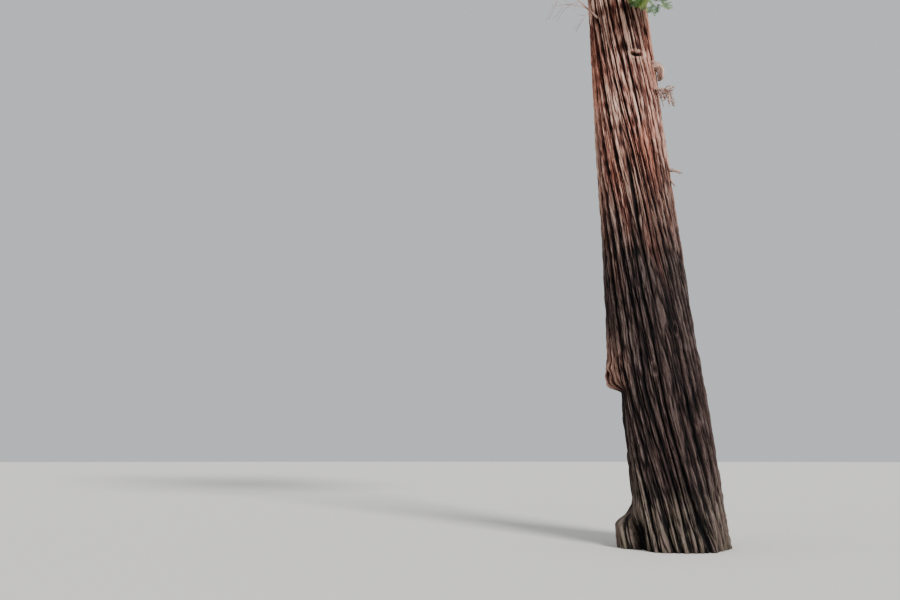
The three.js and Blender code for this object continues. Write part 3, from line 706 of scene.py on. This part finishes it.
def in_space(points, index):
    """Whether each point keeps to a limb's own cell, and clear of the trunk and every other limb.

    The cell holds the points nearer the limb's middle than any other's, and a limb is a row of stretches.
    """
    others = np.arange(len(LEAFY)) != index
    gap = MIDDLES[others] - MIDDLES[index]
    width = np.linalg.norm(gap, axis=1)
    past = (points - MIDDLES[index]) @ (gap / width[:, None]).T - width / 2
    inside = (past < -CELL_MARGIN).all(1) & (points[:, 2] < TREE_HEIGHT - CELL_MARGIN)
    off_axis = np.linalg.norm((points - trunk_axis(points[:, 2]))[:, :2], axis=1)
    inside &= (points[:, 2] > LEADER_FOOT) | (off_axis > trunk_radius(points[:, 2]) + TRUNK_MARGIN)
    start, run = BENDS[others, :-1], np.diff(BENDS[others], axis=1)
    at = points[:, None, None] - start
    share = np.clip(np.sum(at * run, -1) / np.sum(run * run, -1), 0, 1)
    away = np.linalg.norm(at - run * share[..., None], axis=-1)
    return inside & (away.min(2) > KEEP_OFF[others]).all(1)


def side_twig(limb, i, along, hand, outward, seed):
    """One side twig's place, heading, tilt and full length, from the solid's spray rule."""
    fan = hand * (mix(OPEN_FAN, CLOSED_FAN, outward) + stray(FAN_STRAY, limb.seed, seed, 4))
    lift = LIFTS[i % len(LIFTS)] + stray(LIFT_STRAY, limb.seed, seed, 5)
    slope = np.clip(lift + limb_way(limb, along)[2] * math.cos(fan), -STEEPEST, STEEPEST)
    way = turned(limb.away, UP, fan + limb.whorl * i) * math.sqrt(1 - slope**2) + UP * slope
    across = unit(np.cross(way, UP))
    over = turned(np.cross(across, way), way, stray(ROLL, limb.seed, seed, 6))
    size = mix(INNER_SIZE, OUTER_SIZE, outward) * mix(*SIZE_RANGE, chance(limb.seed, seed, 7))
    return SimpleNamespace(
        base=limb_point(limb, along), way=way, over=over, left=np.cross(over, way), outward=outward,
        length=max(LEAST_SPRAY, SPRAY_LENGTH * limb.span) * size, seed=seed)


def leader_twig(limb, up, seed):
    """A twig on the leader: a golden angle further round than the last, shorter and steeper higher up."""
    slope = mix(*LEADER_SLOPES, up)
    way = level(seed * GOLDEN_ANGLE) * math.sqrt(1 - slope**2) + UP * slope
    left = unit(np.cross(UP, way))
    return SimpleNamespace(
        base=limb_point(limb, mix(*LEADER_PLACES, up)), way=way, over=np.cross(way, left), left=left,
        outward=up, length=mix(*LEADER_TWIGS, up), seed=seed)


def side_twigs(limb):
    """The solid's sprays along a limb, with True, and between them as many again on each side, with False.

    On the leader, twigs of its own take the place of those between.
    """
    count = round(mix(LOW_SPRAYS, TOP_SPRAYS, limb.up))
    innermost = max(limb.start + BARE_AFTER_BOUGH, BARE_STEM)
    outermost = STEM_END - TIP_SINK
    found = [(side_twig(limb, 0, outermost, 0, (outermost - innermost) / (STEM_END - innermost), 0), True)]
    for i in range(1, count):
        for n, (part, mirror) in enumerate(LEADER_BETWEEN if limb.whorl else BETWEEN):
            place = i - 1 + part
            if place > count - 2:
                continue
            along = mix(STEM_END - TIP_STEP, innermost, place / (count - 2))
            hand = mirror * (1 if i % 2 else -1)
            outward = (along - innermost) / (STEM_END - innermost)
            if n == 0:
                found.append((side_twig(limb, i, along, hand, outward, i), True))
            elif limb.whorl:
                found.append((leader_twig(limb, 1 - place / (count - 2), 8 * i + n), False))
            else:
                own_seed = int(20 * i + 8 * part + mirror)
                twig = side_twig(limb, i + 2 + int(2 * part), along, hand, outward, own_seed)
                twig.length *= BETWEEN_SIZE
                found.append((twig, False))
    return found


def twig_place(twig, share, across=0.0, depth=0.0):
    """Points of a side twig's leafy plane: along it, across it and below it, with a droop by the square."""
    share, across, depth = (np.asarray(x, float)[..., None] for x in (share, across, depth))
    return (twig.base + twig.way * twig.length * share + twig.left * across - twig.over * depth
            - UP * SPRAY_DROOP * twig.length * share**2)


def half_width(twig, share):
    """How far a side twig's twiglets reach at a share of its length: a sine wave that closes to a point."""
    phase = mix(FIRST_TOOTH, LAST_TOOTH, np.clip((share - STALK) / (TEETH_END - STALK), 0, 1))
    close = np.minimum(1, (POINT_PLACE - share) / POINT_SPAN)
    return SPRAY_WIDTH * twig.length * np.sin(np.pi * phase) * close


def fitted(twig, index):
    """Shortens a side twig until its outline keeps to its space. Returns whether it does."""
    for _ in range(SHRINK_TRIES):
        width = half_width(twig, OUTLINE_SHARES)
        edge = np.concatenate([
            twig_place(twig, OUTLINE_SHARES), twig_place(twig, OUTLINE_SHARES, width, TOOTH_DROOP * width),
            twig_place(twig, OUTLINE_SHARES, -width, TOOTH_DROOP * width)])
        if in_space(edge, index).all():
            return True
        twig.length *= SHRINK
    return False


def within(limb, points, limit):
    """Whether points are within a level limit from the limb's foot, and near the solids' box."""
    low, high = np.array(CAD_BOX)
    boxed = ((points > low - BOX_SLACK) & (points < high + BOX_SLACK)).all(1)
    return boxed & (np.linalg.norm((points - limb.foot)[:, :2], axis=1) < limit)


def kept(index, near, far, limit):
    """Whether both points of each pair keep to a limb's space, and the far one to its limit."""
    spaced = in_space(np.concatenate([near, far]), index).reshape(2, -1).all(0)
    return spaced & within(LEAFY[index], far, limit)


def twiglets(twig, index, limit):
    """A side twig's twiglets, left and right by turns: roots and tips of those that keep to their space."""
    count = int(np.clip(round(twig.length * (1 - STALK) / TWIGLET_GAP), *TWIGLET_COUNTS))
    j = np.arange(2 * count)
    share = STALK + (TWIGLET_END - STALK) * (j // 2 + FIRST_STEP + HAND_STEP * (j % 2)) / count
    share = share + stray(TWIGLET_STRAY, twig.seed, j, index)
    hand = np.where(j % 2, -1.0, 1.0)
    width = half_width(twig, share) * mix(*TWIGLET_SIZES, chance(twig.seed + j, index, 11))
    root = twig_place(twig, share)
    tip = twig_place(twig, np.minimum(share + SWEEP_ON, FURTHEST_TIP), hand * width, TOOTH_DROOP * width)
    keep = kept(index, root, tip, limit)
    return root[keep], tip[keep], j[keep]


def needle_sprays(twig, root, tip, j, index, limit):
    """Where the flat sprays sit: one ends each twiglet, two or three leave it, and one ends the side twig."""
    run = tip - root
    way = unit(run)
    size = np.clip(SPRAY_SHARE * twig.length, *SPRAY_SIZES)
    length = size * mix(*SPRAY_VARIES, chance(j, twig.seed, index))
    lots = [(tip - way * TIP_SPRAY_BACK * length[:, None], way, length)]
    for place, side in SIDE_SPRAYS[:None if LEAFY[index].up > THIN_ABOVE else LOW_SIDE_SPRAYS]:
        at = root + run * (place + stray(SIDE_SPRAY_STRAY, j, side, index))[:, None]
        lean = side * mix(*SIDE_SPRAY_LEAN, chance(j, side, twig.seed))
        lots.append((at, turned(way, twig.over + 0 * way, lean), SIDE_SPRAY_SIZE * length))
    end = twig_place(twig, END_SPRAY)
    lots.append((end[:1], unit(end[1:] - end[:1]), length[:1]))
    base, way, length = stacked(lots)
    n = np.arange(len(base))
    over = unit(twig.over - way * (way @ twig.over)[:, None])
    over = turned(over, way, stray(SPRAY_ROLL, n, twig.seed, index))
    keep = kept(index, base, base + SPRAY_REACH * way * length[:, None], limit)
    # Outer sprays get lighter greens: fresher growth, and painted sunlight on the crown's outside
    fresh_and_sunlit = FRESH_AND_SUNLIT_BY_CHANCE * chance(n, twig.seed + 3, index) + FRESH_AND_SUNLIT_BY_PLACE * twig.outward
    tone = np.minimum(GREENS - 1, (fresh_and_sunlit * GREENS).astype(int))
    tone[chance(n, twig.seed, index + 50) < BROWN_SHARE] = GREENS
    return base[keep], way[keep], over[keep], length[keep], tone[keep]


def stem_sprays(limb):
    """Sprays on the leader's stem, each a golden angle further round than the last and shorter higher up."""
    n = np.arange(STEM_SPRAYS)
    share = (n + 0.5) / STEM_SPRAYS
    way = level(n * GOLDEN_ANGLE) * math.sqrt(1 - STEM_SPRAY_SLOPE**2) + UP * STEM_SPRAY_SLOPE
    over = np.cross(way, unit(np.cross(UP, way)))
    tone = (chance(n, limb.seed, 15) * GREENS).astype(int)
    return limb_point(limb, mix(*STEM_SPRAY_PLACES, share)), way, over, mix(*STEM_SPRAY_LENGTHS, share), tone


def needle_shape():
    """One flat spray of unit length, as points (along, across, up) and triangles.

    A ribbon is its twig, a needle ends it, and the needles left and right are longest in the middle.
    """
    foot = mix(*NEEDLE_FEET, np.arange(NEEDLES) / (NEEDLES - 1))
    wide = NEEDLE_WIDTH * (foot[1] - foot[0])
    long = NEEDLE_LENGTH * np.sin(np.pi * mix(*NEEDLE_WAVE, foot)) ** NEEDLE_FULLNESS
    points = [*RIBBON]
    faces = [(0, 1, 2), (0, 2, 3)]
    for at, reach in zip(foot, long):
        start = len(points)
        ahead, out = reach * math.cos(NEEDLE_LEAN), reach * math.sin(NEEDLE_LEAN)
        points += [(at - wide / 2, 0, NEEDLE_RISE), (at + wide / 2, 0, NEEDLE_RISE),
                   (at + ahead, out, -NEEDLE_DROOP * out), (at + ahead, -out, -NEEDLE_DROOP * out)]
        faces += [(start, start + 1, start + 2), (start + 1, start, start + 3)]
    start = len(points)
    points += END_NEEDLE
    faces.append((start, start + 2, start + 1))
    return np.array(points, float), np.array(faces)


def put_needles(name, lots, greens, nodes):
    """Several lots of sprays as one piece: the one shape, scaled and turned to each spray's heading."""
    base, way, over, length, tone = stacked(lots)
    shape, faces = needle_shape()
    worn = np.repeat(tone, len(faces))
    across = np.cross(over, way)
    points = base[:, None] + length[:, None, None] * (
        shape[:, :1] * way[:, None] + shape[:, 1:2] * across[:, None] + shape[:, 2:] * over[:, None])
    faces = faces + (np.arange(len(base)) * len(shape))[:, None, None]
    put_piece(name, points.reshape(-1, 3), faces.reshape(-1, 3), greens, "foliage", nodes, worn, smooth=False)


def put_wood(name, lots, finish, slot, nodes):
    """Several lots of wood as one piece."""
    points, faces, grain = joined(lots)
    put_piece(name, points, faces, [finish], slot, nodes, grain=grain)


def grow(index):
    """Everything that one leafy limb carries: side twigs, twiglets and needle sprays."""
    limb = LEAFY[index]
    stems, forks, sprays = [], [], []
    fits = [(twig, own) for twig, own in side_twigs(limb) if fitted(twig, index)]
    limit = max(np.hypot(*(twig_place(twig, 1.0) - limb.foot)[:2]) for twig, own in fits if own)
    for twig, own in fits:
        root, tip, j = twiglets(twig, index, limit)
        if len(root) < SPARSE:
            continue
        shares = np.linspace(0, 1, STEM_STATIONS)
        stems.append((twig_place(twig, shares), twig.length * mix(*STEM_RADII, shares), twig.left))
        bend = (root + tip) / 2 + twig.over * FORK_BOW * twig.length
        radii = twig.length * np.array(FORK_RADII) + np.zeros((len(root), 3))
        forks.append((np.stack([root, bend, tip], 1), radii, twig.over + 0 * root))
        sprays.append(needle_sprays(twig, root, tip, j, index, limit))
    if limb.whorl:
        sprays.append(stem_sprays(limb))
    stem = tubes(*(np.array(arrays) for arrays in zip(*stems)), STEM_SIDES)
    return SimpleNamespace(stem=stem, fork=tubes(*stacked(forks), FORK_SIDES), sprays=stacked(sprays))


def limb_wood(limb, start, end, sides, stations):
    """A limb's wood between two places on it, knobbly by noise round and along it."""
    t = np.linspace(start, end, stations)
    middle = limb_point(limb, t)
    side = np.cross(limb.away, UP)
    points, faces, grain = tubes(middle[None], limb_radius(limb, t)[None], side[None], sides)
    turns, far = np.meshgrid(np.arange(sides) / sides, t * limb.reach / (KNOB_LENGTH * limb.radius))
    knobs = KNOB_RISE * weave(turns, far, KNOB_CELLS, limb.seed)
    return knobbly(points, middle, knobs), faces, grain + limb.seed


def numbered(name, k):
    """A node's name with its number, which is counted from 1."""
    return f"{name}_{k + 1:02d}"


def make_crown(limb_bark, twig_bark, greens):
    """Boughs, limb wood, twigs and needles. Twigs and needles are joined in bands of height."""
    end = BOUGH_END + BOUGH_OVERLAP
    boughs = [limb_wood(limb, WOOD_ROOT, end, sides=12, stations=24) for limb in CROWN[:BOUGHS]]
    put_wood("boughs", boughs, limb_bark, "limb_bark", [numbered("bough", k) for k in range(BOUGHS)])
    grown = [grow(i) for i in range(len(LEAFY))]
    names = [*(numbered("foliage", k) for k in range(LIMBS)), "leader"]
    counts = [len(g.sprays[0]) for g in grown]
    bands = [0]
    for i in range(len(names)):
        if sum(counts[bands[-1]:i + 1]) > BAND_SPRAYS:
            bands.append(i)
    for b, (low, high) in enumerate(zip(bands, [*bands[1:], len(names)])):
        put_needles(f"needles_{b + 1}", [g.sprays for g in grown[low:high]], greens, names[low:high])
    for name, low, high in TWIG_BANDS:
        twigs = [lot for g in grown[low:high] for lot in (g.stem, g.fork)]
        put_wood(name, twigs, twig_bark, "foliage", names[low:high])
    stems = [limb_wood(limb, max(WOOD_ROOT, limb.start), STEM_END, sides=8, stations=20) for limb in CROWN]
    stems.append(limb_wood(LEAFY[LIMBS], -WOOD_ROOT, STEM_END, sides=8, stations=20))
    put_wood("limb_wood", stems, limb_bark, "limb_bark", names)
    return grown[-1]


def make_sprig(grown, twig_bark, greens):
    """The leafy sprig that hangs in front of the bare trunk."""
    put_needles("sprig_needles", [grown.sprays], greens, ["right_sprig"])
    stem = limb_wood(LEAFY[-1], SPRIG_START, STEM_END, sides=8, stations=16)
    put_wood("sprig_wood", [stem, grown.stem, grown.fork], twig_bark, "foliage", ["right_sprig"])


def dead_twig(limb, i, count, seed):
    """A dead twig on a branch, left and right by turns along the stretch outside the bark."""
    t = mix(1 - limb.span / limb.reach, DEAD_END, (i + DEAD_STEP) / count)
    angle = (1 if i % 2 else -1) * mix(*DEAD_ANGLES, chance(limb.seed, seed, 8))
    return SimpleNamespace(
        seed=limb.seed + seed, foot=limb_point(limb, t), away=turned(limb.away, UP, angle),
        reach=limb.span * mix(*DEAD_REACHES, chance(limb.seed, seed, 9)),
        radius=limb_radius(limb, t) * DEAD_GIRTH, tip=limb.tip * DEAD_GIRTH,
        rise=mix(*DEAD_RISES, chance(limb.seed, seed, 10)), sag=DEAD_SAG)


def dead_branch(limb, twigs, extra, start, fine_count=3, girth=1.0, reaches=(0.5, 0.8), rises=(-2.6, 0.6)):
    """A dead branch with the solid's twigs, more between them, and finer ones on each."""
    lots = [limb_wood(limb, start, 1.0, sides=8, stations=22)]
    for i in range(twigs + extra):
        if i < twigs:
            twig = dead_twig(limb, i, twigs, i)
        else:
            twig = dead_twig(limb, i - twigs, extra, 30 + i)
            twig.reach *= mix(*reaches, chance(i, limb.seed, 12))
            twig.radius *= EXTRA_GIRTH
            twig.rise = mix(*rises, chance(i, limb.seed, 13))
        twig.radius *= girth
        twig.tip *= girth
        lots.append(limb_wood(twig, 0.0, 1.0, sides=5, stations=10))
        for n in range(fine_count):
            fine = SimpleNamespace(**vars(twig))
            fine.foot = limb_point(twig, FINE_PLACES[0] + FINE_PLACES[1] * n / fine_count)
            fine.away = turned(twig.away, UP, stray(FINE_ANGLE, i, n, limb.seed))
            fine.reach = twig.reach * mix(*FINE_REACHES, chance(i, n, limb.seed + 1))
            fine.rise = stray(FINE_RISE, i, n, limb.seed + 2)
            fine.sag = mix(*FINE_SAGS, chance(i, n, limb.seed + 3))
            fine.radius, fine.tip, fine.seed = twig.radius * FINE_GIRTH, FINE_TIP * girth, i + n
            lots.append(limb_wood(fine, 0.0, 1.0, sides=4, stations=7))
    return joined(lots)


def bent_wood(limb, path, radii, sides, stations_between=4, lumps=0.45):
    """Weathered wood along a smoothed path of places out from the bark and up, with lumps and strips.

    Lumps are a noise with few cells round the wood, and strips one with more, drawn out along it.
    """
    out, up = np.array(path).T
    bark = limb_point(limb, 1 - limb.span / limb.reach)
    fine = np.linspace(0, len(out) - 1, stations_between * (len(out) - 1) + 1)
    stations = np.arange(len(out))
    out, up = (np.interp(fine, stations, x) for x in (out, up))
    for _ in range(SMOOTHINGS):
        out[1:-1], up[1:-1] = ((x[:-2] + 2 * x[1:-1] + x[2:]) / 4 for x in (out, up))
    middle = bark + limb.away * out[:, None] + UP * up[:, None]
    girth = np.interp(fine, stations, radii)
    points, faces, grain = tubes(middle[None], girth[None], np.cross(limb.away, UP)[None], sides)
    turns, far = np.meshgrid(np.arange(sides) / sides, fine * LUMPS_A_PLACE)
    strips = weave(turns + STRIP_WIND * far, STRIP_CROWD * far, STRIP_CELLS, 4)
    knobs = lumps * (weave(turns, far, LUMP_CELLS, 3) + STRIP_SHARE * strips)
    return knobbly(points, middle, knobs), faces, grain


def make_dead_wood(finish):
    """The knob, the tangle and the snag on the trunk's right side, and the branch on its left."""
    stub, tangle, snag, branch = (
        bare_limb(LIMBS + 2 + i, **place) for i, place in enumerate((STUB, TANGLE, SNAG, DEAD_BRANCH)))
    bent = [bent_wood(snag, path, radii, SNAG_SIDES)
            for path, radii in ((SNAG_OUT, SNAG_OUT_RADII), (SNAG_DOWN, SNAG_DOWN_RADII))]
    pieces = (
        ("hooked_stub", "right_stub", [bent_wood(stub, STUB_PATH, STUB_RADII, **STUB_WOOD)]),
        ("twig_tangle", "dead_twigs", [dead_branch(tangle, **TANGLE_TWIGS)]),
        ("curved_snag", "dead_snag", [*bent, dead_branch(snag, **SNAG_TWIGS)]),
        ("bare_branch", "dead_branch", [dead_branch(branch, **BRANCH_TWIGS)]),
    )
    for name, node, lots in pieces:
        put_wood(name, lots, finish, "dead_wood", [node])


class Wire:
    """A socket in a finish's node tree. Sums, products and powers of wires add their Math nodes."""

    def __init__(self, finish, socket):
        self.finish = finish
        self.socket = socket

    def math(self, operation, *values):
        """What a Math node makes of some values."""
        return self.finish.node("Math", {"operation": operation}, dict(enumerate(values)))

    def __add__(self, other):
        return self.math("ADD", self, other)

    def __sub__(self, other):
        return self.math("SUBTRACT", self, other)

    def __rsub__(self, other):
        return self.math("SUBTRACT", other, self)

    def __mul__(self, other):
        return self.math("MULTIPLY", self, other)

    def __pow__(self, other):
        return self.math("POWER", self, other)

    __radd__ = __add__
    __rmul__ = __mul__


class Finish:
    """A material whose nodes are added by name."""

    def __init__(self, name, **constants):
        self.material = bpy.data.materials.new(name)
        self.material.use_nodes = True
        self.tree = self.material.node_tree
        self.shader = self.tree.nodes["Principled BSDF"]
        for socket, value in constants.items():
            self.shader.inputs[socket.replace("_", " ")].default_value = value

    def node(self, kind, settings=None, sockets=None, output=0):
        """Adds a node of a kind: first its settings, then the values or wires of its sockets."""
        made = self.tree.nodes.new("ShaderNode" + kind)
        for key, value in (settings or {}).items():
            if key == "stops":
                self.set_stops(made.color_ramp, value)
            else:
                setattr(made, key, value)
        for key, value in (sockets or {}).items():
            if isinstance(value, Wire):
                self.tree.links.new(value.socket, made.inputs[key])
            else:
                made.inputs[key].default_value = value
        return Wire(self, made.outputs[output])

    def set_stops(self, color_ramp, stops):
        """Puts tones at their places on a colour ramp."""
        while len(color_ramp.elements) < len(stops):
            color_ramp.elements.new(0.5)
        for element, (place, tone) in zip(color_ramp.elements, stops):
            element.position = place
            element.color = rgb(tone)

    def noise(self, vector, scale, detail=3.0, roughness=0.55):
        """Noise of a vector that is first scaled along each axis."""
        stretched = self.node("Mapping", {"vector_type": "POINT"}, {"Vector": vector, "Scale": scale})
        return self.node("TexNoise", {}, {
            "Vector": stretched, "Scale": 1.0, "Detail": detail, "Roughness": roughness})

    def blend(self, share, first, second, kind="MIX"):
        """A colour between two, by a share, or one that the second multiplies."""
        settings = {"data_type": "RGBA", "blend_type": kind}
        return self.node("Mix", settings, {"Factor": share, 6: first, 7: second}, 2)

    def tones(self, value, stops):
        """A colour by a value from 0 to 1, blended between tones at their places."""
        return self.node("ValToRGB", {"stops": stops}, {"Fac": value})

    def attribute(self, name, output="Fac"):
        """What a piece's points carry under a name."""
        return self.node("Attribute", {"attribute_name": name}, {}, output)

    def span(self, value, low, high, first=0.0, last=1.0):
        """A value carried from one range to another and held there."""
        return self.node("MapRange", {"interpolation_type": "SMOOTHSTEP"}, {
            "Value": value, "From Min": low, "From Max": high, "To Min": first, "To Max": last})

    def feed(self, **wires):
        """Leads wires into the shader's sockets."""
        for socket, wire in wires.items():
            self.tree.links.new(wire.socket, self.shader.inputs[socket.replace("_", " ")])

    def bump(self, height, strength, distance):
        """Bends the surface's light by a height."""
        normal = self.node("Bump", {}, {"Strength": strength, "Distance": distance, "Height": height})
        self.feed(Normal=normal)


def rgb(tone):
    """An opaque colour in linear light, from the 0 to 255 numbers of a tone that a screen shows."""
    shares = [number / 255 for number in tone]
    return (*(c / 12.92 if c < 0.0404 else ((c + 0.055) / 1.055) ** 2.4 for c in shares), 1.0)


def trunk_finish():
    """Fibrous bark: pale worn crests, red-brown flanks, dark furrows partly as painted shade, greyer and
    darker low down partly as painted shade, paler on the burl, at the foot and in patches partly as painted
    light, and mossy near the ground.
    """
    finish = Finish("redwood_bark", Roughness=0.92, Specular_IOR_Level=0.18)
    grain = finish.attribute("grain", "Vector")
    furrow = finish.attribute("furrow")
    burl = finish.attribute("burl")
    place = finish.node("TexCoord", {}, {}, "Object")
    height = finish.node("SeparateXYZ", {}, {"Vector": place}, 2)
    fibre = finish.noise(grain, (46, 46, 2.2), 4.0, 0.65)
    thread = finish.noise(grain, (130, 130, 6), 2.0)
    patch = finish.noise(grain, (3.2, 3.2, 0.5), 3.0)
    crumb = finish.noise(place, (34, 34, 30), 3.0)
    strand = finish.noise(grain, (19, 19, 1.6), 3.0, 0.6)
    # From the pale worn crests to the furrows' bottoms, whose dark tones are partly painted shade
    worn = finish.span(furrow + (fibre - 0.5) * 1.2 + (strand - 0.5) * 1.0, -0.08, 0.92)
    warm = finish.span(patch, 0.38, 0.62)
    colour = finish.blend(warm * 0.85, finish.tones(worn, BRIGHT_BARK), rgb(WARM_TINT), "MULTIPLY")
    # Pale patches on the crests: partly bleached bark, partly painted sunlight
    bleached_and_sunlit = finish.span(finish.noise(place, (1.3, 1.3, 0.8), 2.0), 0.47, 0.62)
    colour = finish.blend(bleached_and_sunlit * finish.span(worn, 0.4, 0.05) * 0.6, colour, rgb(BLEACHED_AND_SUNLIT))
    # Greyer and darker low down, partly painted shade, and less of it on the burl
    grey_and_shade = finish.span(height + (patch - 0.5) * 2.6, *GREY_AND_SHADE_HEIGHTS) * (0.94 - burl * 0.6)
    colour = finish.blend(grey_and_shade, colour, finish.tones(worn, GREY_AND_SHADED_BARK))
    # Paler crests near the foot, partly painted sunlight
    foot = finish.span(height + (patch - 0.5) * 1.6, *PALE_FOOT_AND_SUN_HEIGHTS) * finish.span(worn, 0.75, 0.1)
    colour = finish.blend(foot * 0.5, colour, rgb(PALE_FOOT_AND_SUN_TONE))
    # Paler crests on the burl, partly painted light where the burl stands out
    colour = finish.blend(burl * finish.span(worn, 0.8, 0.15) * 0.6, colour, rgb(PALE_BURL_AND_LIT_TONE))
    damp = finish.span(height + (crumb - 0.5) * 0.9 + (patch - 0.5) * 1.4, *DAMP_HEIGHTS)
    tuft = finish.noise(place, (15, 15, 9), 4.0, 0.6)
    moss = finish.span(tuft, 0.46, 0.64) * damp * finish.span(worn, 1.0, 0.55) * 0.5
    colour = finish.blend(moss, colour, rgb(MOSS))
    streak = finish.span(finish.noise(grain, (40, 40, 1.7), 4.0, 0.7), 0.45, 0.58)
    colour = finish.blend(streak * 0.6, colour, rgb(STREAK_TINT), "MULTIPLY")
    finish.feed(Base_Color=colour)
    finish.bump(fibre * 0.7 + thread * 0.35 + crumb * 0.2, 1.0, 0.035)
    return finish.material


def wood_finish(name, tones, fine, roughness):
    """Thin bark or bare wood: stripes of fibre along the grain and blotches across it."""
    finish = Finish(name, Roughness=roughness, Specular_IOR_Level=0.2)
    grain = finish.attribute("grain", "Vector")
    fibre = finish.noise(grain, (fine, fine, fine / 12), 4.0, 0.6)
    blotch = finish.noise(grain, (fine / 6, fine / 6, fine / 9), 3.0)
    stops = tuple(zip(WOOD_PLACES, tones))
    finish.feed(Base_Color=finish.tones(fibre * 0.65 + blotch * 0.35, stops))
    finish.bump(fibre + blotch * 0.5, 0.6, 0.004)
    return finish.material


def green_finishes():
    """Plain greens from deep to fresh, the deep ones partly painted shade and the fresh ones partly painted
    sunlight, and a dying brown. Each needle spray wears one.
    """
    found = []
    for i, tone in enumerate(NEEDLE_TONES):
        name = f"needle_green_{i + 1}" if i < GREENS else "needle_brown"
        finish = Finish(name, Base_Color=rgb(tone), Roughness=0.5, Specular_IOR_Level=0.35)
        found.append(finish.material)
    return found


def sun(name, energy, angle, towards):
    """A soft sun that shines along a direction."""
    lamp = bpy.data.lights.new(name, "SUN")
    lamp.energy = energy
    lamp.angle = math.radians(angle)
    holder = bpy.data.objects.new(name, lamp)
    x, y, z = towards
    holder.rotation_euler = (math.atan2(math.hypot(x, y), -z), 0, math.atan2(y, x) - math.pi / 2)
    bpy.context.collection.objects.link(holder)


def make_stage():
    """A plain pale floor out to the horizon, and soft light all round with a key from the right in front."""
    edge = level(np.linspace(0, 2 * np.pi, FLOOR_CORNERS, endpoint=False)) * FLOOR_RADIUS - UP * FLOOR_DROP
    floor_mesh = bpy.data.meshes.new("floor")
    floor_mesh.from_pydata([tuple(p) for p in edge], [], [tuple(range(FLOOR_CORNERS))])
    floor = bpy.data.objects.new("floor", floor_mesh)
    bpy.context.collection.objects.link(floor)
    finish = Finish("pale_floor", Base_Color=rgb(FLOOR_TONE), Roughness=0.9, Specular_IOR_Level=0.2)
    floor_mesh.materials.append(finish.material)
    world = bpy.data.worlds.new("studio")
    world.use_nodes = True
    sky = world.node_tree.nodes["Background"]
    sky.inputs["Color"].default_value = rgb(SKY_TONE)
    sky.inputs["Strength"].default_value = SKY_STRENGTH
    bpy.context.scene.world = world
    sun("key_light", **KEY_LIGHT)
    sun("fill_light", **FILL_LIGHT)


def make_camera():
    """The photograph's view: eye height, a wide lens, tilted up along the trunks."""
    camera = bpy.data.objects.new("camera", bpy.data.cameras.new("camera"))
    camera.location = CAMERA_PLACE
    camera.rotation_euler = (math.radians(90 + CAMERA_TILT), 0, math.radians(CAMERA_TURN))
    camera.data.lens = CAMERA_LENS
    camera.data.sensor_width = CAMERA_SENSOR
    camera.data.clip_end = CAMERA_REACH
    bpy.context.collection.objects.link(camera)
    bpy.context.scene.camera = camera


def build():
    """The camera, the stage and every piece of the tree."""
    make_camera()
    make_stage()
    greens = green_finishes()
    twig_bark = wood_finish("twig_bark", TWIG_TONES, fine=60, roughness=0.85)
    limb_bark = wood_finish("limb_bark", LIMB_TONES, fine=40, roughness=0.9)
    dead_wood = wood_finish("weathered_wood", DEAD_TONES, fine=34, roughness=0.9)
    make_trunk(trunk_finish())
    sprig = make_crown(limb_bark, twig_bark, greens)
    make_sprig(sprig, twig_bark, greens)
    make_dead_wood(dead_wood)


build()
